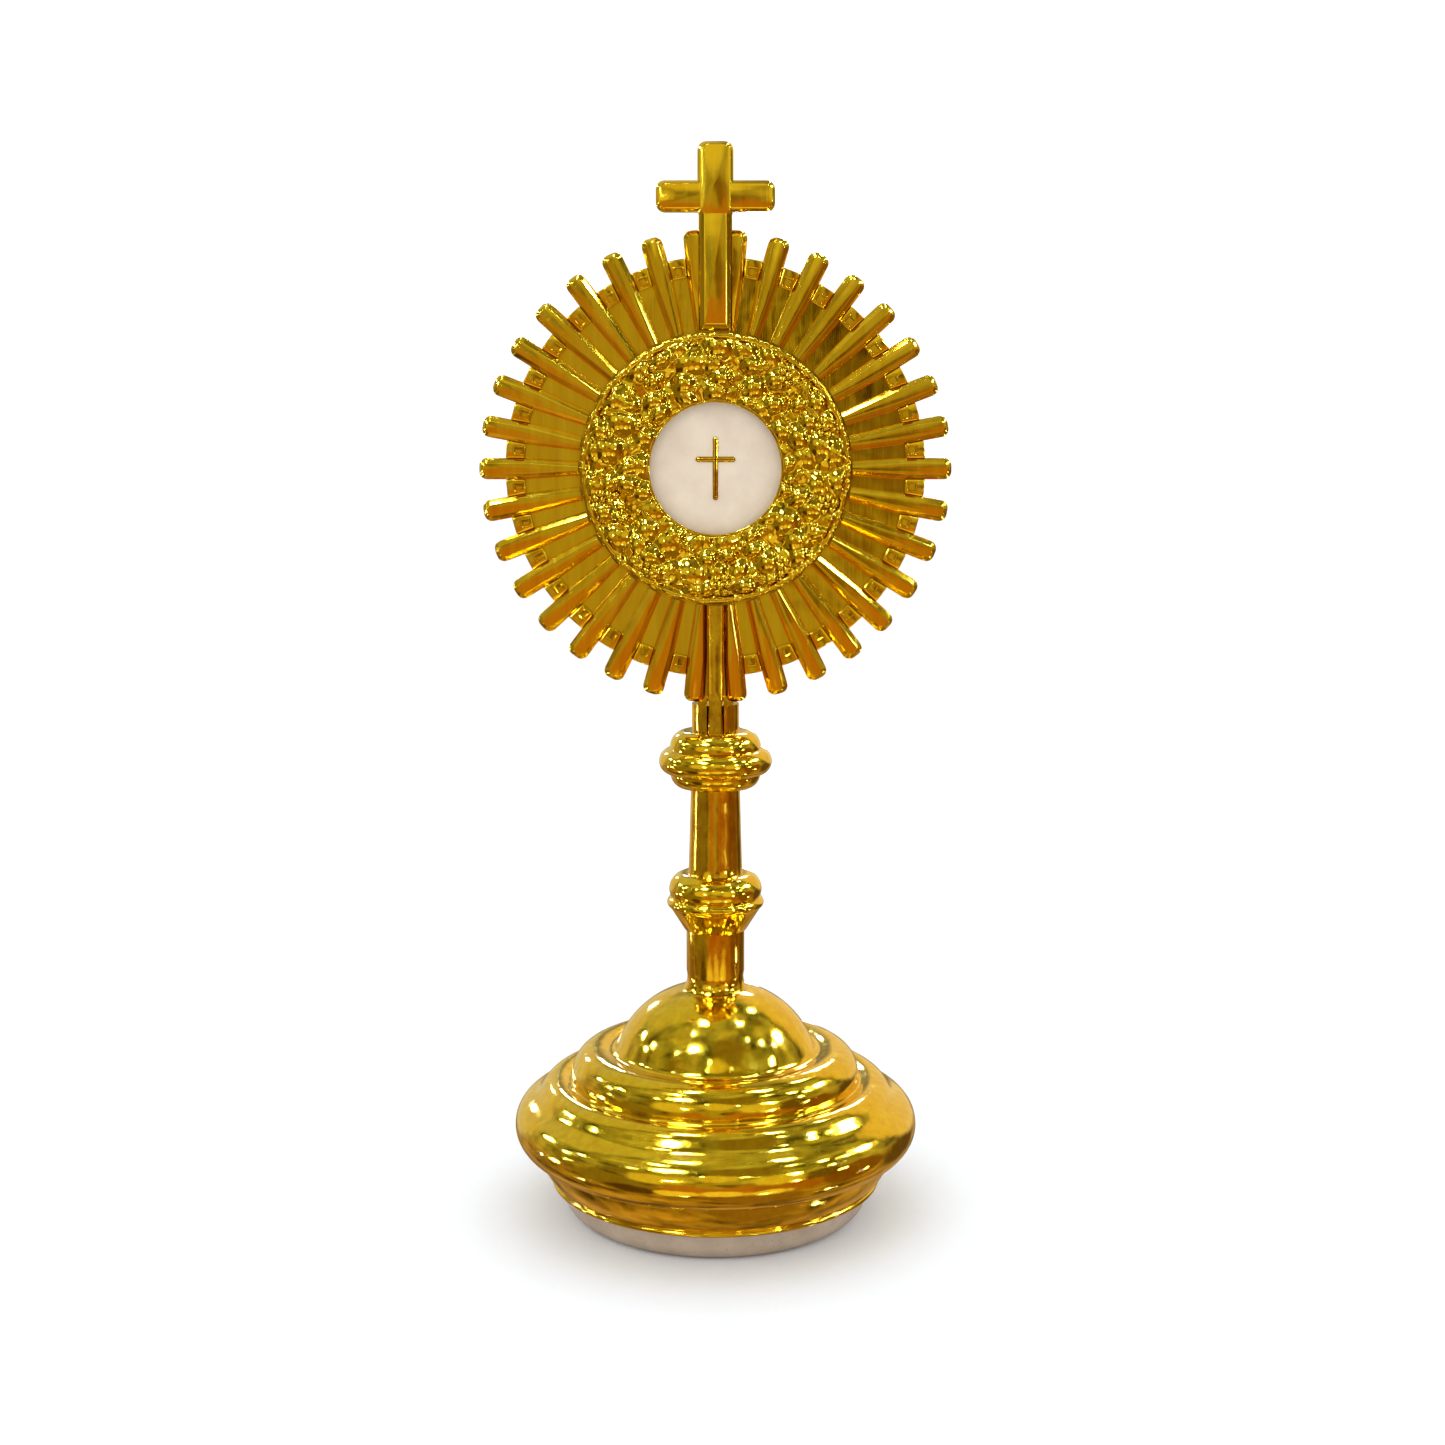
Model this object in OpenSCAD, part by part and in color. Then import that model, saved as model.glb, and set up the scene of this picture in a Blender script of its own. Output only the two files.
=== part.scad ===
// Altar monstrance: a weighted stepped foot, a knopped stem and a sunburst head
// whose round glass-backed case slides out to the rear.
// Frame: millimetres, +Z up, the front of the sunburst faces -Y, origin on the
// resting face under the stem axis.

/* [Foot] */
// Radius of the flat face that the foot rests on
pad_face_r = 29.5; // [27:0.5:31]
// Height of the pad under the foot
pad_h = 7; // [6.8:0.1:7.2]
// Radius of the crease between the dome and the upper step
dome_r = 22.8; // [22:0.1:23.5]
// Wall thickness of the spun foot
foot_wall = 1.2; // [1:0.1:1.4]
// Radius of the ballast disc inside the foot
weight_r = 34.2; // [33:0.1:34.4]

/* [Stem] */
// Radius of the lower stem tube
stem_low_r = 6.5; // [6.2:0.1:6.8]
// Radius of the middle stem tube at its foot
stem_mid_r = 5.95; // [5.8:0.05:6.2]
// Radius of the upper stem socket
stem_top_r = 5.25; // [5:0.05:5.5]
// Radius of the tie rod that clamps the stack
rod_r = 2; // [1.8:0.1:2.2]

/* [Sunburst] */
// Height of the centre of the sunburst
head_z = 167; // [166.8:0.1:167.2]
// Radius of the round plate
plate_r = 45.9; // [45.5:0.1:46.2]
// Thickness of the plate
plate_t = 2; // [1.8:0.1:2.2]
// Radius to the tips of the rays
ray_tip_r = 51.7; // [51:0.1:52.5]
// Number of rays
ray_count = 34; // [30:2:38]
// Width of a ray outside the plate
ray_w = 4.7; // [4.4:0.1:4.9]
// Height of the top of the cross above the centre of the sunburst
cross_top = 70.4; // [69:0.1:72]
// Width across the arms of the cross
cross_span = 25.9; // [24:0.1:28]

/* [Wreath] */
// Outer radius of the wreath
wreath_r = 29.9; // [29.5:0.1:30.2]
// Radius of the window in the bezel
window_r = 14.4; // [14:0.1:14.5]
// Number of leaves in the wreath
leaf_count = 24; // [12:1:30]
// Number of grape clusters in the wreath
cluster_count = 12; // [6:1:14]

/* [Case] */
// Inner radius of the drum that the case slides in
drum_bore_r = 16.8; // [16.7:0.05:16.9]
// Length of the drum behind the plate
drum_len = 13; // [12.8:0.1:13.1]
// Outer radius of the sliding case
case_r = 16.5; // [16.4:0.05:16.5]
// Outer radius of the hinged back door
door_r = 18.6; // [18.4:0.1:18.6]

/* [Hidden] */
$fn = 96;

gilt = [0.83, 0.66, 0.13];
gilt_warm = [0.78, 0.52, 0.10];
steel = [0.62, 0.63, 0.65];
iron = [0.30, 0.30, 0.32];
pad_pale = [0.80, 0.76, 0.73];
wafer = [0.93, 0.90, 0.88];
crystal = [0.80, 0.88, 0.90, 0.4];
eps = 0.01;

// Foot outline from the stem down: creases between the steps, as [radius, height]
foot_top = [6.95, 50.5];
dome_crease = [dome_r, 35.8];
step_crease = [32, 28.9];
rim_crease = [39.8, 26.4];
rim_foot = [40.8, 14.3];
flange_edge = [36.8, 7.4];
dome_bulge = 0.14;
step_bulge = 0.4;
rim_step_bulge = 0.33;
rim_bulge = 0.42;
flange_bore_r = 34.6;
flange_ledge_r = 31;
flange_ledge_z = 12.6;

// Ballast and the lower end of the tie rod
weight_top_r = 22;
weight_top_z = 27;
weight_step_r = 30;
weight_step_z = 22;
recess_r = 9;
recess_z = 11.7;
washer_r = 6;
washer_t = 1;
nut_r = 4.04;
nut_t = 3.2;
nut_z = recess_z - washer_t - nut_t;
rod_z = nut_z + 0.1;
rod_len = 99;

// Heights of the joints in the stem
stem_low_z = foot_top[1];
knop_low_z = 64;
stem_mid_z = 76.8;
knop_top_z = 96.4;
stem_top_z = 109;
socket_top_z = 115;
rod_bore_r = rod_r + 0.6;
spigot_r = 4;
spigot_z = 99;
tube_flare = 0.25;
tang_screw_z = 112;
tang_screw_r = 1;

// Levels in the head, measured forwards from the plate's middle plane
plate_front = plate_t / 2;
ray_step = 360 / ray_count;
ray_rise = 1.2;
ray_bevel = 1.15;
ray_root_w = 3.2;
ray_full_r = 42;
ray_tip_cut = 1.2;
ray_root_r = wreath_r + 0.1;
tab_root_r = 39;
fit_gap = 0.05;
block_in_r = 41.7;
block_rise = 0.6;
pip_w = 2.6;
pip_len = 3;
pip_rise = 0.5;
tang_w = 8;
tang_end = head_z - 109.6;
tab_end = 54;
rib_w = 3.8;
rib_face_w = 2.6;
rib_head_z = 3.2;
rib_foot_z = 6.1;
rib_chamfer = 0.9;
rib_side_gap = 1.6;
rib_end = head_z - stem_top_z;

// Cross
cross_w = 7.3;
cross_head_w = 7.8;
cross_arm_low = 55.3;
cross_arm_top = 62.1;
cross_round = 1.6;
cross_edge = 1.8;
cross_front = 3;
cross_bevel = 1.5;

// Wreath and bezel
rim_in_r = 28.5;
rim_front = 4.4;
wreath_in_r = 17.4;
wreath_trough_r = 21.6;
wreath_low = 2.6;
bezel_front = 3.4;
bezel_lip = 0.5;
leaf_len = 5.6;
leaf_w = 3;
leaf_rise = 2.2;
leaf_out_r = 26.1;
leaf_in_r = 19.6;
cluster_r = 23.4;
grape_r = 0.98;

// Drum, sliding case and back door; y is measured to the rear
drum_out_r = drum_bore_r + 1.6;
drum_flange_r = 25;
drum_flange_t = 1.4;
screw_ring_r = 21.6;
screw_r = 1;
screw_head_r = 1.9;
case_front_y = -0.7;
case_lip_y = -0.1;
case_lip_r = 14.6;
case_bore_r = 15.65;
case_flange_y = drum_len + 0.3;
case_flange_r = 21;
case_back_y = case_flange_y + 1.5;
host_r = 15.6;
host_t = 1.4;
host_back_y = case_lip_y + host_t;
emblem_rise = 0.5;
emblem_w = 1.2;
emblem_h = 14;
emblem_span = 8.8;
emblem_arm_y = 2;
clip_t = 1.5;
clip_gap = 6;
clip_in_r = 14;
tab_w = 7;
tab_t = 1.4;
tab_len = 5;
tab_in_r = 19.2;
door_y = case_back_y + 0.3;
door_back_y = door_y + 2;
door_lip_t = 0.5;
door_open_r = 13.4;
glass_r = 14.3;
hinge_x = 20.9;
hinge_y = 16.4;
knuckle_r = 1.3;
pin_r = 0.6;
pin_clear = 0.05;
knuckle_half = 2;
knuckle_gap = 0.3;
knuckle_end = 6.3;
knob_x = -16.2;
knob_r = 1;
knob_len = 3.4;

// Points of an arc from p to q that swells to the left of that direction by b times
// the chord. The arc is drawn w closer to its centre, so w gives the inside of a wall.
function arc(p, q, b, n = 12, w = 0) =
    let (
        d = q - p,
        chord = norm(d),
        rise = b * chord,
        r = (chord * chord / 4 + rise * rise) / (2 * rise),
        left = [-d[1], d[0]] / chord,
        c = (p + q) / 2 + left * (rise - r),
        start = atan2(p[1] - c[1], p[0] - c[0]),
        sweep = 2 * asin(min(1, chord / (2 * r)))
    )
    [for (i = [0:n]) c + (r - w) * [cos(start - sweep * i / n), sin(start - sweep * i / n)]];

function reversed(a) = [for (i = [len(a) - 1:-1:0]) a[i]];

// The stepped outer curve of the foot, or its inner face at depth w
function foot_curve(w) = concat(
    arc(foot_top, dome_crease, dome_bulge, 16, w),
    arc(dome_crease, step_crease, step_bulge, 14, w),
    arc(step_crease, rim_crease, rim_step_bulge, 10, w),
    arc(rim_crease, rim_foot, rim_bulge, 18, w)
);

// A solid turned from an outline in [radius, height]
module turned(outline) {
    rotate_extrude() polygon(outline);
}

// Moves its children to the centre of the sunburst: local x across, y up, z to the front
module on_head() {
    translate([0, 0, head_z]) rotate([90, 0, 0]) children();
}

// A disc on the head's axis between two depths, both measured to the rear
module head_disc(r, y_front, y_back) {
    on_head() translate([0, 0, -y_back]) cylinder(r = r, h = y_back - y_front);
}

// A ring on the head's axis between two depths
module head_ring(r_out, r_in, y_front, y_back) {
    difference() {
        head_disc(r_out, y_front, y_back);
        head_disc(r_in, y_front - 1, y_back + 1);
    }
}

// A solid through matching clockwise outlines, each at its own height
module lofted(outlines, heights) {
    n = len(outlines[0]);
    last = len(outlines) - 1;
    polyhedron(
        points = [for (k = [0:last]) for (p = outlines[k]) [p[0], p[1], heights[k]]],
        faces = concat(
            [[for (i = [n - 1:-1:0]) i]],
            [for (k = [0:last - 1]) for (i = [0:n - 1]) [k * n + i, (k + 1) * n + (i + 1) % n, (k + 1) * n + i]],
            [for (k = [0:last - 1]) for (i = [0:n - 1]) [k * n + i, k * n + (i + 1) % n, (k + 1) * n + (i + 1) % n]],
            [[for (i = [0:n - 1]) last * n + i]]
        )
    );
}

// Outline of one upright ray, drawn in by a bevel
function ray_outline(root_r, in) =
    let (
        root = ray_root_w / 2 - in * 0.6,
        side = ray_w / 2 - in,
        tip = ray_tip_r - in,
        cut = ray_tip_cut - in * 0.4
    )
    [
        [-root, root_r], [-side, ray_full_r], [-side, tip - cut], [-side + cut, tip],
        [side - cut, tip], [side, tip - cut], [side, ray_full_r], [root, root_r]
    ];

function ray_angle(i) = (i + 0.5) * ray_step;

module base_pad() {
    color(pad_pale)
    turned(concat(
        [[0, 0], [pad_face_r, 0]],
        reversed(arc([34.4, 4], [pad_face_r, 0], 0.16)),
        [[35.2, pad_h], [0, pad_h]]
    ));
}

module foot_weight() {
    color(iron)
    difference() {
        turned([
            [0, pad_h], [weight_r, pad_h], [weight_r, flange_ledge_z], [weight_step_r, flange_ledge_z],
            [weight_step_r, weight_step_z], [weight_top_r, weight_top_z], [0, weight_top_z]
        ]);
        cylinder(r = recess_r, h = recess_z);
        cylinder(r = rod_bore_r, h = head_z);
    }
}

module foot_flange() {
    color(gilt)
    turned(concat(
        [[flange_ledge_r, flange_ledge_z], [flange_ledge_r, rim_foot[1]]],
        arc(rim_foot - [0.5, 0], flange_edge, 0.06, 8),
        [[flange_bore_r + 0.8, pad_h + fit_gap], [flange_bore_r, flange_edge[1]], [flange_bore_r, flange_ledge_z]]
    ));
}

module foot_shell() {
    color(gilt)
    turned(concat(
        [[rod_bore_r, foot_top[1]]],
        foot_curve(0),
        [[rim_foot[0] - foot_wall, rim_foot[1]]],
        reversed(foot_curve(foot_wall)),
        [[rod_bore_r, foot_top[1] - foot_wall]]
    ));
}

module tie_rod() {
    color(steel) translate([0, 0, rod_z]) cylinder(r = rod_r, h = rod_len);
}

module tie_washer() {
    color(steel)
    difference() {
        translate([0, 0, recess_z - washer_t]) cylinder(r = washer_r, h = washer_t);
        cylinder(r = rod_r, h = head_z);
    }
}

module tie_nut() {
    color(steel)
    difference() {
        translate([0, 0, nut_z]) cylinder(r = nut_r, h = nut_t, $fn = 6);
        cylinder(r = rod_r, h = head_z);
    }
}

module stem_lower() {
    color(gilt_warm)
    difference() {
        turned(concat(
            [[0, stem_low_z]],
            arc([foot_top[0] + tube_flare, stem_low_z], [stem_low_r, stem_low_z + 4], 0.12, 6),
            [[stem_low_r, knop_low_z], [0, knop_low_z]]
        ));
        cylinder(r = rod_bore_r, h = head_z);
    }
}

module lower_knop() {
    color(gilt)
    difference() {
        turned(concat(
            [[0, stem_mid_z]],
            arc([6.4, stem_mid_z], [9.9, 71.4], 0.3, 10),
            arc([10.1, 71.3], [10.3, 69.2], 0.3, 6),
            [[10.1, 69.1], [6.9, knop_low_z], [0, knop_low_z]]
        ));
        cylinder(r = rod_bore_r, h = head_z);
    }
}

module stem_middle() {
    color(gilt_warm)
    difference() {
        turned([
            [0, stem_mid_z], [stem_mid_r + tube_flare, stem_mid_z], [stem_mid_r, stem_mid_z + 1.6],
            [stem_mid_r - 0.5, knop_top_z], [0, knop_top_z]
        ]);
        cylinder(r = rod_bore_r, h = head_z);
    }
}

module upper_knop() {
    color(gilt)
    difference() {
        turned(concat(
            [[0, stem_top_z]],
            arc([6.4, stem_top_z], [10.1, 105], 0.22, 8),
            arc([10.3, 104.9], [10.9, 99.5], 0.36, 12),
            arc([10, 99.4], [8.2, knop_top_z], 0.15, 6),
            [[0, knop_top_z]]
        ));
        cylinder(r = rod_bore_r, h = head_z);
        translate([0, 0, spigot_z]) cylinder(r = spigot_r, h = 20);
    }
}

module stem_upper() {
    color(gilt_warm)
    difference() {
        union() {
            translate([0, 0, stem_top_z]) cylinder(r = stem_top_r, h = socket_top_z - stem_top_z);
            translate([0, 0, spigot_z]) cylinder(r = spigot_r, h = stem_top_z - spigot_z + eps);
        }
        translate([0, 0, rod_z]) cylinder(r = rod_r, h = rod_len);
        on_head() translate([-tang_w / 2, -tang_end, -plate_t / 2]) cube([tang_w, 20, plate_t]);
        on_head() translate([-rib_w / 2, -rib_end, plate_front]) cube([rib_w, 20, 20]);
        translate([0, 0, tang_screw_z]) rotate([-90, 0, 0]) cylinder(r = tang_screw_r, h = 10);
    }
}

module tang_screw() {
    color(steel)
    translate([0, 0, tang_screw_z]) rotate([-90, 0, 0]) {
        translate([0, 0, -plate_t / 2]) cylinder(r = tang_screw_r, h = stem_top_r + plate_t / 2);
        translate([0, 0, stem_top_r]) cylinder(r1 = screw_head_r, r2 = 1.4, h = 1.1);
    }
}

module glory_plate() {
    color(gilt)
    difference() {
        on_head() translate([0, 0, -plate_t / 2]) {
            cylinder(r = plate_r, h = plate_t);
            for (i = [0:ray_count - 1]) {
                rotate(-ray_angle(i)) linear_extrude(plate_t) polygon(ray_outline(tab_root_r, 0));
            }
            translate([-tang_w / 2, -tang_end, 0]) cube([tang_w, tang_end - ray_full_r, plate_t]);
            translate([-cross_w / 2, ray_full_r, 0]) cube([cross_w, tab_end - ray_full_r, plate_t]);
        }
        head_disc(drum_out_r, -9, 9);
        for (a = [45:90:315]) {
            on_head() rotate(a) translate([screw_ring_r, 0, -plate_t]) cylinder(r = screw_r, h = plate_t + 0.5);
        }
        translate([0, 0, tang_screw_z]) rotate([90, 0, 0]) cylinder(r = tang_screw_r, h = 10, center = true);
    }
}

module sun_rays() {
    color(gilt)
    for (i = [0:ray_count - 1]) {
        beside_cross = i == 0 || i == ray_count - 1;
        beside_rib = i == ray_count / 2 || i == ray_count / 2 - 1;
        on_head() difference() {
            rotate(-ray_angle(i))
            lofted(
                [ray_outline(ray_root_r, 0), ray_outline(ray_root_r, ray_bevel)],
                [plate_front, plate_front + ray_rise]
            );
            if (beside_cross) {
                translate([-cross_w / 2, 0, 0]) cube([cross_w, cross_top, 9]);
            }
            if (beside_rib) {
                translate([-rib_w / 2 - fit_gap, -rib_end, 0]) cube([rib_w + 2 * fit_gap, rib_end, 9]);
            }
        }
    }
}

module edge_blocks() {
    color(gilt)
    difference() {
        union() {
            head_ring(plate_r, block_in_r, -plate_front - block_rise, -plate_front);
            for (i = [0:ray_count - 1]) {
                on_head() rotate(-i * ray_step)
                translate([-pip_w / 2, block_in_r + 0.2, plate_front])
                cube([pip_w, pip_len, block_rise + pip_rise]);
            }
        }
        for (i = [0:ray_count - 1]) {
            on_head() rotate(-ray_angle(i))
            translate([-ray_w / 2, block_in_r - 3, -1]) cube([ray_w, 20, 9]);
        }
        on_head() translate([-cross_w / 2, 0, -1]) cube([cross_w, cross_top, 9]);
        on_head() translate([-rib_w / 2 - rib_side_gap, -rib_end, -1])
        cube([rib_w + 2 * rib_side_gap, rib_end, 9]);
    }
}

// Outline of an upright bar of half width x with its corners cut, drawn in by a bevel
function bar_outline(x, y0, y1, cut, in) =
    let (w = x - in, low = y0 + in, high = y1 - in, c = cut - in * 0.5, d = c * 0.3)
    [
        [-w + d, low + d], [-w, low + c], [-w, high - c], [-w + d, high - d], [-w + c, high],
        [w - c, high], [w - d, high - d], [w, high - c], [w, low + c], [w - d, low + d],
        [w - c, low], [-w + c, low]
    ];

// A bar of the cross from its back face to a narrower front face
module cross_bar(x, y0, y1, back, front) {
    full = bar_outline(x, y0, y1, cross_round, 0);
    lofted([full, full, bar_outline(x, y0, y1, cross_round, cross_bevel)], [back, cross_edge, front]);
}

module cross_finial() {
    low = cross_arm_low;
    color(gilt)
    on_head() {
        cross_bar(cross_w / 2, ray_root_r, low + 4, plate_front, cross_front - 0.04);
        cross_bar(cross_head_w / 2, tab_end, cross_top, -plate_front, cross_front);
        cross_bar(cross_span / 2, low, cross_arm_top, -plate_front + 0.04, cross_front - 0.08);
    }
}

module lower_rib() {
    low = rib_w / 2;
    top = rib_face_w / 2;
    head_end = -ray_root_r;
    head_side = rib_head_z - rib_chamfer;
    foot_side = rib_foot_z - rib_chamfer;
    color(gilt)
    on_head()
    polyhedron(
        points = [
            [-low, head_end, plate_front], [low, head_end, plate_front],
            [low, -rib_end, plate_front], [-low, -rib_end, plate_front],
            [-top, head_end, rib_head_z], [top, head_end, rib_head_z],
            [top, -rib_end, rib_foot_z], [-top, -rib_end, rib_foot_z],
            [-low, head_end, head_side], [low, head_end, head_side],
            [low, -rib_end, foot_side], [-low, -rib_end, foot_side]
        ],
        faces = [
            [3, 2, 1, 0], [5, 6, 7, 4],
            [8, 11, 3, 0], [4, 7, 11, 8],
            [2, 10, 9, 1], [10, 6, 5, 9],
            [1, 9, 8, 0], [9, 5, 4, 8],
            [11, 10, 2, 3], [7, 6, 10, 11]
        ]
    );
}

module wreath_ring() {
    color(gilt)
    on_head()
    turned(concat(
        arc([wreath_in_r, wreath_low], [wreath_trough_r, wreath_low + 0.4], 0.16, 8),
        arc([wreath_trough_r, wreath_low + 0.4], [rim_in_r, wreath_low + 0.2], 0.2, 12),
        [[rim_in_r, plate_front], [wreath_in_r, plate_front]]
    ));
}

module wreath_rim() {
    color(gilt)
    on_head()
    turned(concat(
        [[rim_in_r, plate_front], [rim_in_r, rim_front - 0.5]],
        arc([rim_in_r, rim_front - 0.5], [wreath_r, rim_front - 0.7], 0.4, 8),
        [[wreath_r, plate_front]]
    ));
}

// A pointed leaf lying along y, raised to a ridge
module leaf(length, width, rise) {
    polyhedron(
        points = [
            [0, -length / 2, 0], [width / 2, -length * 0.1, 0], [0, length / 2, 0], [-width / 2, -length * 0.1, 0],
            [0, -length * 0.3, rise], [0, length * 0.25, rise * 0.9]
        ],
        faces = [[0, 1, 2, 3], [0, 4, 1], [1, 4, 5, 2], [2, 5, 3], [3, 5, 4, 0]]
    );
}

module wreath_leaves() {
    color(gilt)
    for (i = [0:leaf_count - 1]) {
        outer = i % 2 == 0;
        on_head() rotate(i * 360 / leaf_count)
        translate([0, outer ? leaf_out_r : leaf_in_r, wreath_low])
        rotate(outer ? 62 : 118)
        leaf(leaf_len, leaf_w, leaf_rise);
    }
}

module wreath_grapes() {
    cluster = [[0, 1.75], [-1.05, 0], [1.05, 0], [0, -1.75]];
    color(gilt)
    for (i = [0:cluster_count - 1]) {
        on_head() rotate((i + 0.25) * 360 / cluster_count) translate([0, cluster_r, wreath_low + 1]) {
            for (g = cluster) {
                translate([g[0], g[1], 0]) sphere(r = grape_r, $fn = 24);
            }
        }
    }
}

module bezel() {
    color(gilt)
    on_head()
    turned([
        [window_r, plate_front], [window_r, plate_front + bezel_lip], [window_r + 1.9, bezel_front],
        [wreath_in_r - bezel_lip, bezel_front], [wreath_in_r, bezel_front - bezel_lip],
        [wreath_in_r, plate_front]
    ]);
}

module drum() {
    color(gilt)
    difference() {
        union() {
            head_disc(drum_out_r, -plate_front, drum_len);
            head_disc(drum_flange_r, plate_front, plate_front + drum_flange_t);
        }
        head_disc(drum_bore_r, -5, drum_len + 5);
        for (a = [45:90:315]) {
            on_head() rotate(a) translate([screw_ring_r, 0, -9]) cylinder(r = screw_r, h = 18);
        }
    }
}

module drum_screws() {
    head_y = plate_front + drum_flange_t;
    color(steel)
    for (a = [45:90:315]) {
        on_head() rotate(a) translate([screw_ring_r, 0, 0]) {
            translate([0, 0, -head_y]) cylinder(r = screw_r - fit_gap, h = head_y + 0.4);
            difference() {
                translate([0, 0, -head_y - 1.2]) cylinder(r1 = 1.3, r2 = screw_head_r, h = 1.2);
                translate([-0.25, -2, -head_y - 2]) cube([0.5, 4, 1.3]);
            }
        }
    }
}

// A block that carries the fixed hinge knuckles, from z_a to z_b above the head's centre
module fixed_knuckle(z_a, z_b) {
    translate([0, 0, head_z + z_a]) {
        translate([hinge_x, hinge_y, 0]) cylinder(r = knuckle_r, h = z_b - z_a, $fn = 48);
        translate([hinge_x - knuckle_r, case_flange_y, 0])
        cube([2 * knuckle_r, hinge_y - case_flange_y, z_b - z_a]);
    }
}

module luna_case() {
    knuckle_start = knuckle_half + knuckle_gap;
    color(gilt)
    difference() {
        union() {
            head_disc(case_r, case_front_y, case_flange_y + eps);
            head_disc(case_flange_r, case_flange_y, case_back_y);
            translate([16, case_flange_y, head_z - knuckle_end])
            cube([hinge_x + knuckle_r - 16, case_back_y - case_flange_y, 2 * knuckle_end]);
            fixed_knuckle(knuckle_start, knuckle_end);
            fixed_knuckle(-knuckle_end, -knuckle_start);
        }
        head_disc(case_lip_r, -5, 5);
        head_disc(case_bore_r, case_lip_y, case_back_y + 5);
        translate([hinge_x, hinge_y, head_z - 10]) cylinder(r = pin_r, h = 20, $fn = 32);
    }
}

module host() {
    color(wafer) head_disc(host_r, case_lip_y, host_back_y);
}

module host_emblem() {
    color(gilt_warm)
    on_head() translate([0, 0, -case_lip_y]) linear_extrude(emblem_rise) {
        translate([-emblem_w / 2, -emblem_h / 2]) square([emblem_w, emblem_h]);
        translate([-emblem_span / 2, emblem_arm_y - emblem_w / 2]) square([emblem_span, emblem_w]);
    }
}

module host_clip() {
    color(steel)
    difference() {
        head_ring(case_bore_r - 2 * fit_gap, clip_in_r, host_back_y, host_back_y + clip_t);
        on_head() translate([-clip_gap / 2, -case_r - 2, -9]) cube([clip_gap, 10, 18]);
    }
}

module pull_tabs() {
    color(gilt)
    for (side = [0, 180]) {
        on_head() rotate(side) translate([-tab_w / 2, tab_in_r, -case_back_y - tab_len])
        cube([tab_w, tab_t, tab_len]);
    }
}

module hinge_pin() {
    color(steel)
    translate([hinge_x, hinge_y, head_z - knuckle_end]) cylinder(r = pin_r, h = 2 * knuckle_end, $fn = 32);
}

module door_frame() {
    arm_in = glass_r + 2;
    color(gilt)
    difference() {
        union() {
            head_disc(door_r, door_y, door_back_y);
            translate([hinge_x, hinge_y, head_z - knuckle_half])
            cylinder(r = knuckle_r, h = 2 * knuckle_half, $fn = 48);
            translate([arm_in, door_y + 0.2, head_z - knuckle_half])
            cube([hinge_x - arm_in, door_back_y - door_y - 0.4, 2 * knuckle_half]);
        }
        head_disc(door_open_r, door_y - 5, door_back_y + 5);
        head_disc(glass_r, door_y - 5, door_back_y - door_lip_t);
        translate([hinge_x, hinge_y, head_z - 10]) cylinder(r = pin_r + pin_clear, h = 20, $fn = 32);
    }
}

module door_glass() {
    color(crystal) head_disc(glass_r, door_y + 0.1, door_back_y - door_lip_t);
}

module door_knob() {
    color(gilt)
    translate([knob_x, door_back_y, head_z]) rotate([-90, 0, 0])
    turned(concat(
        [[0, 0], [knob_r, 0]],
        reversed(arc([0, knob_len], [knob_r, knob_r], 0.42, 10))
    ));
}

base_pad();
foot_weight();
foot_flange();
foot_shell();
tie_rod();
tie_washer();
tie_nut();
stem_lower();
lower_knop();
stem_middle();
upper_knop();
stem_upper();
tang_screw();
glory_plate();
sun_rays();
edge_blocks();
cross_finial();
lower_rib();
wreath_ring();
wreath_rim();
wreath_leaves();
wreath_grapes();
bezel();
drum();
drum_screws();
luna_case();
host();
host_emblem();
host_clip();
pull_tabs();
hinge_pin();
door_frame();
door_glass();
door_knob();
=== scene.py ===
"""The looks of the gilt sunburst monstrance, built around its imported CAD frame. Metres, front at -Y."""

import math
import random

import bmesh
import bpy
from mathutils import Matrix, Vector, noise


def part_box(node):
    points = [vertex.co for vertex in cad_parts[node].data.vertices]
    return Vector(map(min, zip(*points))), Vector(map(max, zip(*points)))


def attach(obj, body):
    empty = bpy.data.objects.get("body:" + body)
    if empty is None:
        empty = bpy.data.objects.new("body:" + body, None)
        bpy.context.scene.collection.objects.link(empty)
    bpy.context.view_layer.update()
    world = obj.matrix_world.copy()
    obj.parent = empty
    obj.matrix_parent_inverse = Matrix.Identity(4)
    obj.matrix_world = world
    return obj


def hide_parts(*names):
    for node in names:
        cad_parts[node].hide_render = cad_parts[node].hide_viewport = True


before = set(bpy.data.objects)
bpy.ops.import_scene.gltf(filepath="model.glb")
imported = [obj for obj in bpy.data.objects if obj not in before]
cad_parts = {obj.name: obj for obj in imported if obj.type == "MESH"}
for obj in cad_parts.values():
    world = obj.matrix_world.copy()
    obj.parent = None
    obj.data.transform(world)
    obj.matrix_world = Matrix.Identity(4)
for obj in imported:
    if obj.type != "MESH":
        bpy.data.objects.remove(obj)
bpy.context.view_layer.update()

MM = 0.001
TURN = 2 * math.pi
SEGMENTS = 224
random.seed(34)

# ---------------------------------------------------------------- sizes in millimetres

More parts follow.
